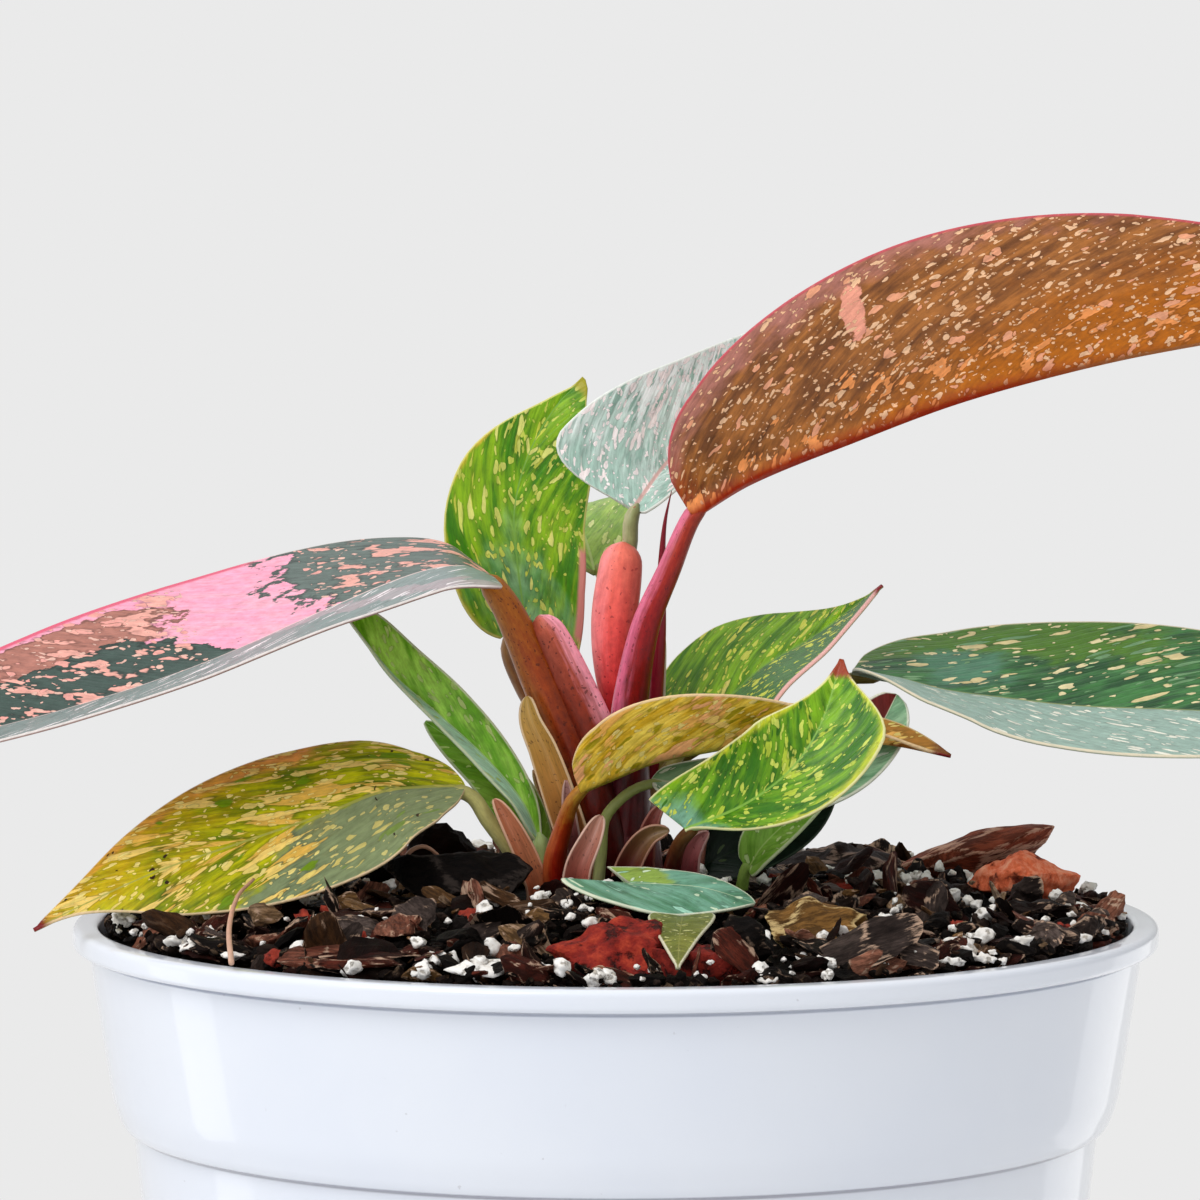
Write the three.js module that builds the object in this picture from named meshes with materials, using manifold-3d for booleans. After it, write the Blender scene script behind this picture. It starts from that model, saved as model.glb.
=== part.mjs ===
// A young potted orange princess philodendron in its glossy white grower pot.
// Millimetres, +Z up. The origin is the middle of the pot's underside. The side that faces the
// viewer is -Y, and the big bronze leaf reaches out along +X.

import * as THREE from 'three';
import { mergeVertices } from 'three/addons/utils/BufferGeometryUtils.js';
import Module from 'manifold-3d';

const wasm = await Module();
wasm.setup();

// Driving dimensions of the pot
const POT_HEIGHT = 118;
const RIM_RADIUS = 76.5;
const LIP_HEIGHT = 3.4;
const COLLAR_TOP_RADIUS = 74.2;
const COLLAR_LOW_RADIUS = 71;
const COLLAR_LOW_HEIGHT = 93.6;
const STEP_RADIUS = 68.9;
const STEP_HEIGHT = 89.5;
const BASE_RADIUS = 58.6;
const EDGE_ROUND = 1;
const POT_WALL = 1.7;
const POT_FLOOR = 2;
const POT_SIDES = 40;
const DRAIN_HOLES = 6;
const DRAIN_RADIUS = 4;
const DRAIN_CIRCLE = 40;

// Driving dimensions of the soil
const SOIL_EDGE_HEIGHT = 117;
const SOIL_MOUND = 6;
const SOIL_RADIUS = 74;
const SOIL_GAP = 0.5;
const DIP_DEPTH = 1.5;
const DIP_X = 8;
const DIP_Y = -55;
const DIP_SPREAD = 14;
const CHIP_COUNT = 26;
const CHIP_REACH = 66;
const SURFACE_BUMP = 1.6;

// Gap that neighbouring pieces keep, and the thickness of a leaf blade
const GAP = 0.3;
const BLADE = 0.7;

// Where a half blade is folded across its width, as shares of it: on full blades and on slim ones
const FULL = [0, 0.12, 0.55, 1];
const SLIM = [0, 0.5, 1];

const rad = THREE.MathUtils.degToRad;
const scene = new THREE.Group();

// Solids: joining, cutting and naming

function solidOf(geometry) {
  const bare = geometry.clone();
  bare.deleteAttribute('normal');
  bare.deleteAttribute('uv');
  const merged = mergeVertices(bare, 1e-4);
  const mesh = new wasm.Mesh({
    numProp: 3,
    vertProperties: new Float32Array(merged.attributes.position.array),
    triVerts: new Uint32Array(merged.index.array),
  });
  return new wasm.Manifold(mesh);
}

function geometryOf(solid) {
  const mesh = solid.getMesh();
  const geometry = new THREE.BufferGeometry();
  geometry.setAttribute('position', new THREE.BufferAttribute(mesh.vertProperties, 3));
  geometry.setIndex(new THREE.BufferAttribute(mesh.triVerts, 1));
  geometry.computeVertexNormals();
  return geometry;
}

function largestPiece(solid) {
  const pieces = solid.decompose();
  pieces.sort((a, b) => b.volume() - a.volume());
  return pieces[0];
}

function addPiece(name, solid, material) {
  const mesh = new THREE.Mesh(geometryOf(solid), material);
  mesh.name = name;
  scene.add(mesh);
}

function finish(color, roughness) {
  return new THREE.MeshStandardMaterial({ color, roughness, metalness: 0 });
}

// The same draws every time, for the chips and the stones
function seededRandom(seed) {
  let state = seed;
  return () => {
    state = (state * 16807) % 2147483647;
    return state / 2147483647;
  };
}

// A smooth curve through hand-set points, its parameter spread by the distance between them
function smoothCurve(points) {
  const p = points.map((point) => new THREE.Vector3(...point));
  const knots = [0];
  for (let i = 1; i < p.length; i += 1) {
    knots.push(knots[i - 1] + p[i].distanceTo(p[i - 1]));
  }
  const last = p.length - 1;
  const total = knots[last];
  const slope = p.map((point, i) => {
    const before = Math.max(i - 1, 0);
    const after = Math.min(i + 1, last);
    return p[after].clone().sub(p[before]).divideScalar(knots[after] - knots[before]);
  });
  function at(t) {
    const d = t * total;
    let i = 0;
    while (i < last - 1 && knots[i + 1] < d) {
      i += 1;
    }
    const span = knots[i + 1] - knots[i];
    const u = (d - knots[i]) / span;
    const point = p[i].clone().multiplyScalar((1 + 2 * u) * (1 - u) * (1 - u));
    point.addScaledVector(slope[i], span * u * (1 - u) * (1 - u));
    point.addScaledVector(p[i + 1], u * u * (3 - 2 * u));
    point.addScaledVector(slope[i + 1], span * u * u * (u - 1));
    return point;
  }
  function along(t) {
    const step = 0.002;
    return at(Math.min(t + step, 1)).sub(at(Math.max(t - step, 0))).normalize();
  }
  return { at, along, total };
}

// A value that runs through three numbers: at the base, half way and at the tip
function through([base, middle, tip], t) {
  const first = 2 * (t - 0.5) * (t - 1);
  const second = 4 * t * (1 - t);
  const third = 2 * t * (t - 0.5);
  return base * first + middle * second + tip * third;
}

// A closed surface over rows of points: each row is a loop, and both ends are closed by a fan
function loftedGeometry(loops) {
  const count = loops[0].length;
  const positions = [];
  loops.forEach((loop) => loop.forEach((point) => positions.push(point.x, point.y, point.z)));
  const index = [];
  for (let row = 0; row < loops.length - 1; row += 1) {
    for (let i = 0; i < count; i += 1) {
      const a = row * count + i;
      const b = row * count + ((i + 1) % count);
      index.push(a, b, b + count, a, b + count, a + count);
    }
  }
  const start = new THREE.Vector3();
  loops[0].forEach((point) => start.addScaledVector(point, 1 / count));
  const end = new THREE.Vector3();
  loops[loops.length - 1].forEach((point) => end.addScaledVector(point, 1 / count));
  const startIndex = positions.length / 3;
  positions.push(start.x, start.y, start.z, end.x, end.y, end.z);
  const lastRow = (loops.length - 1) * count;
  for (let i = 0; i < count; i += 1) {
    const next = (i + 1) % count;
    index.push(startIndex, next, i, startIndex + 1, lastRow + i, lastRow + next);
  }
  const geometry = new THREE.BufferGeometry();
  geometry.setAttribute('position', new THREE.Float32BufferAttribute(positions, 3));
  geometry.setIndex(index);
  return geometry;
}

// Which way a row moves when the solid swells: the first goes back, the last goes on
function endTurn(row, last) {
  if (row === 0) {
    return -1;
  }
  return row === last ? 1 : 0;
}

// Stalks: a stem of changing thickness along a smooth curve, oval where it is flattened
const SIDE_HINT = new THREE.Vector3(0, -1, 0.05).normalize();

function stalkSolid({ path, radius, flat = 1, sides = 8, steps = 7 }, swell = 0) {
  const curve = smoothCurve(path);
  const loops = [];
  for (let row = 0; row <= steps; row += 1) {
    const t = row / steps;
    const forward = curve.along(t);
    const across = forward.clone().cross(SIDE_HINT).normalize();
    const depth = across.clone().cross(forward).normalize();
    const wide = through(radius, t) + swell;
    const deep = through(radius, t) * flat + swell;
    const centre = curve.at(t).addScaledVector(forward, swell * endTurn(row, steps));
    const loop = [];
    for (let i = 0; i < sides; i += 1) {
      const turn = (2 * Math.PI * (i + 0.5)) / sides;
      const point = centre.clone().addScaledVector(across, wide * Math.cos(turn));
      loop.push(point.addScaledVector(depth, -deep * Math.sin(turn)));
    }
    loops.push(loop);
  }
  return solidOf(loftedGeometry(loops));
}

// Leaf blades. Right and left are as seen from the upper face, looking along the rib, and every pair
// of values is for the right half and the left half.
//   rib       points that the midrib runs through, from the stalk to the tip
//   face      which way the upper face looks, at the base and at the tip
//   width     widest reach of a half from the rib
//   round     how full a half is near its base: smaller is rounder
//   taper     how long the half narrows towards the tip: larger is longer
//   start     how wide a half already is at its very base
//   lobe      how far the margin reaches back past the stalk
//   fold      degrees that a half rises from the rib: at the base, half way and at the tip
//   curl      degrees that a half turns further up from its rib to its margin
//   wave      height, count and start of the waves along the margin
//   ridge     how far the midrib stands out underneath
function bladeSolid(leaf, swell = 0) {
  const {
    rib, face, width, round = [0.42, 0.42], taper = 0.65, start = [0.03, 0.03], lobe = [0, 0],
    fold = [[8, 8, 8], [8, 8, 8]], curl = [0, 0], wave = [0, 0, 0], ridge = 0.6,
    rows = 10, columns = FULL, thick = BLADE,
  } = leaf;
  const curve = smoothCurve(rib);
  const profile = start.map((first, side) => {
    const rise = round[side];
    const shape = (t) => (t + first) ** rise * (1 - t) ** taper;
    const peak = shape(Math.max(0, (rise - taper * first) / (rise + taper)));
    return (t) => shape(t) / peak;
  });
  const least = BLADE / 2;
  const lower = new THREE.Vector3(...face[0]);
  const upper = new THREE.Vector3(...face[face.length - 1]);
  const top = [];
  const bottom = [];
  const last = columns.length - 1;
  for (let row = 0; row <= rows; row += 1) {
    const t = (row / rows) ** 1.35;
    const forward = curve.along(t);
    const up = lower.clone().lerp(upper, t);
    const right = forward.clone().cross(up).normalize();
    const normal = right.clone().cross(forward).normalize();
    const centre = curve.at(t).addScaledVector(forward, swell * endTurn(row, rows));
    const topRow = [];
    const bottomRow = [];
    for (let column = -last; column <= last; column += 1) {
      const side = column < 0 ? 1 : 0;
      const sign = column < 0 ? -1 : 1;
      const s = columns[Math.abs(column)];
      const half = Math.max(width[side] * profile[side](t), least) + swell;
      const angle = rad(through(fold[side], t) + (curl[side] * s) / 2);
      const slant = rad(through(fold[side], t) + curl[side] * s);
      const ripple = wave[0] * s * s * Math.sin(Math.PI * (wave[1] * t + wave[2] + side * 0.6));
      const point = centre.clone();
      point.addScaledVector(right, sign * half * s * Math.cos(angle));
      point.addScaledVector(normal, half * s * Math.sin(angle) + ripple * (half / width[side]));
      point.addScaledVector(forward, -lobe[side] * (1 - t) ** 3 * s ** 1.5);
      const out = normal.clone().multiplyScalar(Math.cos(slant));
      out.addScaledVector(right, -sign * Math.sin(slant));
      if (column === 0) {
        out.copy(normal);
      }
      const skin = thick / 2 + swell;
      const deep = column === 0 ? skin + ridge * (1 - 0.75 * t) : skin;
      topRow.push(point.clone().addScaledVector(out, skin));
      bottomRow.push(point.clone().addScaledVector(out, -deep));
    }
    top.push(topRow);
    bottom.push(bottomRow);
  }
  return solidOf(sheetGeometry(top, bottom));
}

// A thin closed sheet between an upper and a lower grid, both split into triangles alike
function sheetGeometry(top, bottom) {
  const rows = top.length;
  const count = top[0].length;
  const positions = [];
  [top, bottom].forEach((grid) => grid.forEach((row) => row.forEach((point) => {
    positions.push(point.x, point.y, point.z);
  })));
  const under = rows * count;
  const index = [];
  for (let row = 0; row < rows - 1; row += 1) {
    for (let i = 0; i < count - 1; i += 1) {
      const a = row * count + i;
      const b = a + 1;
      const c = a + count;
      const d = c + 1;
      const leftHalf = i < (count - 1) / 2;
      const faces = leftHalf ? [a, b, c, b, d, c] : [a, b, d, a, d, c];
      index.push(...faces);
      index.push(...faces.map((corner) => corner + under).reverse());
    }
  }
  const edge = [];
  for (let i = 0; i < count; i += 1) {
    edge.push(i);
  }
  for (let row = 1; row < rows; row += 1) {
    edge.push(row * count + count - 1);
  }
  for (let i = count - 2; i >= 0; i -= 1) {
    edge.push((rows - 1) * count + i);
  }
  for (let row = rows - 2; row > 0; row -= 1) {
    edge.push(row * count);
  }
  edge.forEach((a, i) => {
    const b = edge[(i + 1) % edge.length];
    index.push(a, a + under, b + under, a, b + under, b);
  });
  const geometry = new THREE.BufferGeometry();
  geometry.setAttribute('position', new THREE.Float32BufferAttribute(positions, 3));
  geometry.setIndex(index);
  return geometry;
}

// The leaves, in the order in which they give way to each other at the crown
const LEAVES = [
  {
    name: 'leaf_bronze_right', color: 0x8a5326,
    stalk: {
      path: [[1, 0, 124], [1.5, 0, 133.5], [2, -1, 147.5], [3, -2, 154.5], [4.5, -2, 160.5],
        [7.5, -2, 167.5], [10.5, -1, 174.5], [13, -1.2, 177.5]],
      radius: [4.2, 2.4, 1.3], steps: 9,
    },
    rib: [[11.5, -1, 176.5], [18.5, -2, 181], [33, -3, 186.8], [47, -3, 191.9], [61.5, -3, 195.9],
      [75.5, -3, 198.9], [88.5, -3, 200.6], [102.5, -3, 199.6], [116, -3, 194]],
    face: [[0, 0, 1], [0, 0, 1]], width: [23, 22.5], round: [0.45, 0.45], taper: 0.7,
    start: [0.012, 0.012],
    lobe: [1.5, 1.5], fold: [[58, 60, 58], [50, 42, 36]], curl: [24, 14], ridge: 0.8, rows: 16,
    columns: [0, 0.06, 0.35, 0.7, 1],
  },
  {
    name: 'leaf_pink_left', color: 0x5d6f5c,
    stalk: {
      path: [[-0.5, -1, 124.5], [-3.5, -2, 135.5], [-6, -2, 142], [-9, -2, 148.5], [-11.5, -2, 154],
        [-13.5, -2, 158.5], [-15.5, -2, 162.5], [-18.5, -2, 166.8]],
      radius: [3.8, 2.7, 1.5], steps: 8,
    },
    sheath: {
      path: [[-0.5, -3, 138], [-3, -3, 144.5], [-5.7, -2.5, 150.5], [-8.7, -2, 157],
        [-10.6, -1.6, 160.8]],
      radius: [2.6, 2.4, 1.1], flat: 0.8, steps: 6,
    },
    rib: [[-17.5, -2, 166.5], [-21.5, -3, 168], [-28, -4, 167], [-39.5, -6, 162.5], [-58, -8, 154.5],
      [-76.5, -10, 148.5], [-94, -12, 144], [-109, -14, 139]],
    face: [[0, 0, 1], [0, 0, 1]], width: [23.5, 21], round: [0.45, 0.45], taper: 0.7,
    start: [0.01, 0.01],
    fold: [[4, 28, 43], [0, -1, 3]], ridge: 0.8, rows: 15,
  },
  {
    name: 'leaf_silver_top', color: 0x9fb3a8,
    stalk: {
      path: [[0.5, 3.5, 126], [-1, 4.5, 143], [-0.5, 4.5, 154.5], [0.5, 5, 164], [2, 6, 170.5],
        [2.2, 6.2, 174], [3.2, 7.2, 176.3]],
      radius: [1.6, 1.3, 1.1], steps: 8,
    },
    sheath: {
      path: [[0, 4.2, 146], [-0.4, 4.2, 153], [-0.2, 4.2, 160], [0.6, 4.4, 166.5], [1.4, 4.8, 171]],
      radius: [1.3, 3.6, 1.9], flat: 0.75, steps: 6,
    },
    rib: [[2.5, 7, 175.5], [7, 11, 181.5], [14.5, 17, 189], [21, 23, 196], [26.5, 28, 202.5]],
    face: [[-0.1, -0.95, 0.15], [-0.1, -0.95, 0.15]], width: [8, 14], round: [0.14, 0.14], taper: 0.8,
    start: [0.02, 0.06], fold: [[30, 26, 20], [4, 8, 10]], curl: [10, 6], lobe: [-4, 0],
  },
  {
    name: 'leaf_heart_back', color: 0x5f9a2c,
    stalk: {
      path: [[-1.5, 4, 127.5], [-6, 8, 137], [-10, 12, 144], [-13.5, 16, 149.5],
        [-15.5, 18.5, 154.5], [-14.5, 20, 157.5], [-13.5, 20.5, 159.5]],
      radius: [1.9, 1.2, 1], steps: 8,
    },
    rib: [[-13, 20, 159], [-14, 19.5, 166.5], [-14.5, 19.5, 174.5], [-12.5, 20, 182.5],
      [-8.5, 21, 189.5], [-4.5, 22, 193.5]],
    face: [[-0.1, -1, 0.15], [-0.1, -1, 0.15]], width: [12, 10.7], round: [0.4, 0.45], taper: 1,
    start: [0.12, 0.004], lobe: [5.5, 3], fold: [[8, 8, 10], [8, 12, 16]], wave: [0.6, 3, 0], rows: 12,
  },
  {
    name: 'leaf_green_rear', color: 0x7aa33c,
    stalk: {
      path: [[0.5, 5.5, 125], [1, 10, 142.5], [0.6, 16, 155], [-0.8, 22, 163], [-2.6, 27, 166.4]],
      radius: [1.9, 1.3, 1.1], steps: 6,
    },
    rib: [[-3, 25, 165.5], [-4.5, 32, 170], [-7, 44, 173], [-9, 60, 171], [-10, 76, 164]],
    face: [[0, 0, 1], [0, 0, 1]], width: [8.5, 11], fold: [[20, 14, 8], [20, 14, 8]], lobe: [2, 2],
    columns: SLIM,
  },
  {
    name: 'leaf_dark_right', color: 0x3f6b46,
    stalk: {
      path: [[3, 2, 125], [5, 5, 134.5], [7.5, 6, 139], [17.5, 8, 144.5], [26.5, 10, 147],
        [33.5, 11, 150.3],
        [37, 10.8, 150.4]],
      radius: [1.6, 1.1, 0.9], steps: 9,
    },
    rib: [[35, 11, 151], [40.5, 10, 150.5], [47, 9, 149.5], [55, 8, 148.5], [65.5, 6, 147.5],
      [82.5, 4, 147], [96.5, 2, 146], [110.5, 0, 143], [120.5, -1, 139]],
    face: [[0, 0, 1], [0, 0, 1]], width: [20, 21], round: [0.44, 0.44], taper: 0.5,
    start: [0, 0.002], lobe: [1, 1.5],
    fold: [[8, -12, -18], [30, 28, 26]], ridge: 0.7, rows: 13,
  },
  {
    name: 'leaf_green_right', color: 0x6a9c26,
    stalk: {
      path: [[2.5, 3, 126], [5, 3.6, 134.5], [8, 4, 139.5], [10.5, 4.6, 143], [13.5, 5.4, 146.3]],
      radius: [1.5, 1.1, 0.9], steps: 6,
    },
    rib: [[12, 5, 145], [17, 6.5, 149.5], [21, 7.5, 153], [28, 9.5, 157], [33.5, 10.5, 161],
      [38, 11.5, 164.4]],
    face: [[-0.45, -0.5, 0.7], [-0.45, -0.5, 0.7]], width: [13, 12.5], taper: 1.2, start: [0.03, 0.35],
    fold: [[16, 14, 14], [2, 0, 2]], lobe: [2, 5],
  },
  {
    name: 'leaf_lime_left', color: 0xa9a433,
    stalk: {
      path: [[-9, -3.5, 117], [-10, -4, 121.5], [-12, -5, 124.5], [-15, -7, 129], [-18, -8, 133],
        [-20, -8, 136], [-23, -8.4, 137.3]],
      radius: [1.8, 1.3, 1], steps: 8,
    },
    rib: [[-21, -8, 137.5], [-26, -9, 137.5], [-32.5, -11, 137], [-41, -14, 134], [-52, -17, 130.5],
      [-63, -20, 127], [-72.5, -23, 123], [-80, -25, 119.5]],
    face: [[0, -0.57, 0.82], [0, -0.57, 0.82]], width: [12.6, 15.8], round: [0.62, 0.62], taper: 1.05,
    start: [0.01, 0.005], fold: [[4, 2, 0], [4, 0, 0]], ridge: 0.7, rows: 14, low: true,
  },
  {
    name: 'leaf_slender_left', color: 0x4e9a3a,
    stalk: {
      path: [[-8.5, -0.5, 117], [-9.5, -1, 121.5], [-10, -2, 125], [-10.8, -2, 130.5]],
      radius: [1.6, 1.4, 1], steps: 5,
    },
    rib: [[-10.5, -2, 128.5], [-13, -2, 134.5], [-18, -1, 140.5], [-24.5, 0, 146.5], [-31.5, 2, 152.5],
      [-36.5, 4, 158.5], [-39.5, 6, 162.5]],
    face: [[0.35, -0.85, 0.4], [0.35, -0.85, 0.4]], width: [5, 3.1], round: [0.5, 0.5], taper: 0.6,
    start: [0.02, 0.02], fold: [[30, 30, 30], [34, 34, 34]], ridge: 0.3, rows: 12,
  },
  {
    name: 'leaf_olive_front', color: 0xa28a2e,
    stalk: {
      path: [[-8, -8, 117], [-8, -8, 121], [-8.5, -9, 124.5], [-8.5, -10, 127.5], [-7.5, -11, 131.5],
        [-6, -13, 136], [-3.4, -14.2, 139]],
      radius: [2.2, 1.5, 0.8], steps: 7,
    },
    rib: [[-5, -14, 138.5], [-0.5, -15, 140], [5, -15, 142], [13, -14, 143.5], [21.5, -12, 144.5],
      [30, -10, 144.5], [38.5, -9, 144], [46.5, -9, 142]],
    face: [[0, 0, 1], [0, 0, 1]], width: [9.4, 8.6], round: [0.42, 0.42], taper: 1.15,
    start: [0.012, 0.012],
    fold: [[64, 47, 36], [40, 34, 28]], curl: [14, 8], ridge: 0.4, rows: 12,
    columns: [0, 0.08, 0.4, 0.72, 1],
  },
  {
    name: 'leaf_green_front', color: 0x5c9a24,
    stalk: {
      path: [[7, -8, 117], [7.5, -10, 123.5], [8, -14, 127.5], [9, -19, 131], [11, -22.6, 133.6]],
      radius: [1.7, 1.2, 0.9], steps: 6,
    },
    rib: [[9.5, -22, 133], [17, -26, 136.5], [22.5, -28, 140.5], [26, -28, 144.5], [28.5, -26, 149],
      [31, -22, 156.5]],
    face: [[-0.15, -0.8, 0.55], [-0.15, -0.8, 0.55]], width: [10.3, 10.5], round: [0.85, 0.4],
    taper: 0.55,
    start: [0, 0.08], fold: [[10, 18, 22], [6, 8, 20]], lobe: [-6.5, 4], rows: 12,
  },
  {
    name: 'leaf_grey_behind', color: 0x8aa08c,
    stalk: {
      path: [[-2.5, -7, 117], [-2.5, -7.5, 122.5], [-2, -8, 128.5], [-1.5, -8, 133], [1, -8, 136],
        [3.5, -8, 137.5], [6.5, -8.3, 138.2]],
      radius: [1.2, 0.9, 0.8], steps: 7,
    },
    rib: [[5, -8, 138.5], [12, -9, 137.5], [20, -9, 137], [30, -7, 140], [36.5, -5, 145],
      [39.5, -3, 150]],
    face: [[0, -0.6, 0.7], [0, -0.8, 0.4]], width: [6, 6.5], round: [0.5, 0.5], taper: 0.45,
    start: [0.01, 0.01],
    fold: [[10, 10, 10], [10, 10, 30]], ridge: 0.4, columns: SLIM,
  },
  {
    name: 'leaf_light_low', color: 0x86b04c,
    stalk: {
      path: [[17, -9, 117], [17.5, -10.5, 122.5], [18, -12, 126], [19, -13, 128]],
      radius: [1, 0.9, 0.8], steps: 4,
    },
    rib: [[18.5, -13, 126.5], [20.5, -15, 130], [25.5, -17, 135], [30.5, -17.5, 139]],
    face: [[-0.6, -0.7, 0.3], [-0.6, -0.7, 0.3]], width: [4, 4], fold: [[25, 20, 15], [25, 20, 15]],
    rows: 8, columns: SLIM,
    ridge: 0.3,
  },
  {
    name: 'leaf_shade_right', color: 0x22382c,
    stalk: {
      path: [[10, -2, 116], [10.5, -2, 123], [12.5, -2, 126]],
      radius: [1.2, 1, 0.8], steps: 4,
    },
    rib: [[11.5, -2, 125.2], [16, -2, 127.5], [21, -2, 129.5], [26, -1.5, 132], [31, -1, 136]],
    face: [[0, -0.9, 0.4], [0, -0.9, 0.4]], width: [4.5, 5], fold: [[12, 12, 12], [12, 12, 12]],
    rows: 8, columns: SLIM,
    ridge: 0.3,
  },
  {
    name: 'leaf_bluish_low', color: 0x7fa392,
    stalk: {
      path: [[4, -13, 116.5], [3.5, -16, 121], [2.4, -20, 123.2], [3.4, -23.4, 124.7]],
      radius: [1, 0.9, 0.8], steps: 5,
    },
    rib: [[2, -23, 125.6], [6, -24, 125.6], [12, -25, 125.2], [19, -27.5, 123.4]],
    face: [[0, -0.35, 0.93], [0, -0.35, 0.93]], width: [9.5, 6], round: [0.35, 0.35], taper: 0.6,
    start: [0.06, 0.06], lobe: [8, 1.5], fold: [[30, 2, 0], [6, 4, 4]], ridge: 0.3, rows: 10, low: true,
  },
  {
    name: 'leaf_olive_tip', color: 0x7d8650,
    stalk: {
      path: [[9.5, -37, 116], [9.4, -37.2, 120], [9, -36.4, 122.1]],
      radius: [1, 0.9, 0.8], steps: 4,
    },
    rib: [[9, -34.8, 122.4], [8.7, -44, 122.4], [8.3, -55, 121.7], [8, -65.5, 119.5]],
    face: [[0, 0, 1], [0, 0, 1]], width: [4.6, 4.6], round: [0.2, 0.2], taper: 0.9,
    fold: [[8, 8, 8], [8, 8, 8]],
    ridge: 0.2, rows: 7, low: true, columns: SLIM,
  },
  {
    name: 'leaf_bright_left', color: 0x8fc23f,
    stalk: {
      path: [[-9.5, 2.5, 116], [-9.8, 2, 121], [-10.6, 2, 125.5]],
      radius: [1, 0.9, 0.8], steps: 4,
    },
    rib: [[-10.2, 2, 124], [-13.5, 2.5, 133], [-17.5, 3, 138.5], [-22.5, 3.5, 142.5], [-27, 4, 145.5]],
    face: [[0.3, -0.9, 0.3], [0.3, -0.9, 0.3]], width: [3.6, 4.4], round: [0.5, 0.5],
    fold: [[10, 10, 10], [10, 10, 10]], rows: 9, ridge: 0.3, columns: SLIM,
  },
];

// Small pointed sheaths that wrapped the buds, and one old dry one at the back
const SHEATHS = [
  {
    name: 'sheath_tan_left', color: 0xb98a55,
    rib: [[-3.6, -5, 121], [-5, -5.6, 128.5], [-7.5, -6.8, 136.5], [-9.7, -7.2, 142.5],
      [-11.6, -7, 146.5],
      [-12.4, -6, 150]],
    face: [[-0.3, -1, 0.2], [-0.3, -1, 0.2]], width: [2.9, 2.7], fold: [[30, 30, 30], [30, 30, 30]],
  },
  {
    name: 'sheath_rose_left', color: 0xb9765f,
    rib: [[-11.6, -6.6, 117], [-11.4, -7.4, 122.5], [-12.6, -8.6, 126.5], [-14.5, -9.8, 131],
      [-17, -10.2, 136]],
    face: [[0.3, -1, 0.2], [0.3, -1, 0.2]], width: [1.9, 1.9], fold: [[30, 30, 30], [30, 30, 30]],
  },
  {
    name: 'sheath_oval_front', color: 0xb5796a,
    rib: [[-6, -12, 117], [-5.5, -13, 123.5], [-5, -14, 127], [-3.5, -14, 130.5], [-2, -13, 134]],
    face: [[-0.1, -1, 0.2], [-0.1, -1, 0.2]], width: [2.5, 2.5], fold: [[25, 25, 25], [25, 25, 25]],
  },
  {
    name: 'sheath_pink_right', color: 0xb5656b,
    rib: [[10, -10.5, 118], [10, -11.5, 124], [10.4, -12.6, 128], [11.4, -13.4, 130.2],
      [12.8, -14, 131.8]],
    face: [[-0.1, -1, 0.2], [-0.1, -1, 0.2]], width: [2, 2], fold: [[20, 20, 20], [20, 20, 20]],
  },
  {
    name: 'sheath_maroon_low', color: 0x6a2a2c,
    rib: [[0.5, -10.5, 119], [1.3, -11, 125], [2.8, -11.6, 128.6], [4.8, -12.4, 131],
      [7.4, -13.2, 132]],
    face: [[0, -1, 0.3], [0, -1, 0.3]], width: [2.4, 2.4], fold: [[25, 25, 25], [25, 25, 25]],
  },
  {
    name: 'sheath_red_middle', color: 0x8c3b34,
    rib: [[4.2, -7, 120], [4, -8.5, 126], [4.4, -9.6, 130.5], [5.4, -10.4, 133.5], [6.6, -10.8, 135.4]],
    face: [[0, -1, 0.3], [0, -1, 0.3]], width: [1.8, 1.8], fold: [[25, 25, 25], [25, 25, 25]],
  },
  {
    name: 'sheath_pale_bud', color: 0xb98f8c,
    rib: [[-5, -5.5, 119], [-5, -6.5, 124.5], [-6, -8, 130], [-6.7, -8.6, 135.5], [-6.9, -8.8, 138.5]],
    face: [[0, -1, 0.2], [0, -1, 0.2]], width: [1.5, 1.5], fold: [[25, 25, 25], [25, 25, 25]],
  },
  {
    name: 'sheath_amber_left', color: 0xb5773e,
    rib: [[-6.5, 5, 118], [-7.2, 5.5, 123.5], [-8.3, 6, 129], [-10, 6.2, 134.5], [-11.6, 6.2, 138.5]],
    face: [[0.3, -1, 0.1], [0.3, -1, 0.1]], width: [1.7, 1.7], fold: [[25, 25, 25], [25, 25, 25]],
  },
  {
    name: 'sheath_dry_back', color: 0xb9ab90,
    rib: [[5, 7.5, 120], [5, 8.5, 127], [5.5, 9, 139.5], [6, 9, 149.5], [6.7, 9, 158]],
    face: [[0, -1, 0.1], [0, -1, 0.1]], width: [1.7, 1.7], fold: [[25, 25, 25], [25, 25, 25]],
  },
];

// Unopened leaves: thin rolled spears
const SPEARS = [
  {
    name: 'new_leaf_spear', color: 0x8a1f2d,
    path: [[4.4, 4.6, 124], [5.3, 5.4, 143], [6.2, 5.2, 157], [6.6, 4.2, 169.5], [7, 3.8, 174],
      [7.9, 3.6, 178.3]],
    radius: [1.1, 0.7, 0.35], sides: 6, steps: 10,
  },
  {
    name: 'new_leaf_bud', color: 0xa3564a,
    path: [[11, -5, 118], [11.6, -3.5, 128], [13.4, -2, 136], [17.3, 0, 144], [22, 0.4, 150]],
    radius: [1, 1, 0.3], sides: 6, steps: 8,
  },
];

// The main crown: a short thick stem that the big leaves stand on
const CROWN = {
  path: [[1, 1, 112], [1, 1, 121], [1.2, 1.2, 128], [1.6, 1.4, 136]],
  radius: [6.2, 5.8, 3.6], sides: 12, steps: 5,
};

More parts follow.
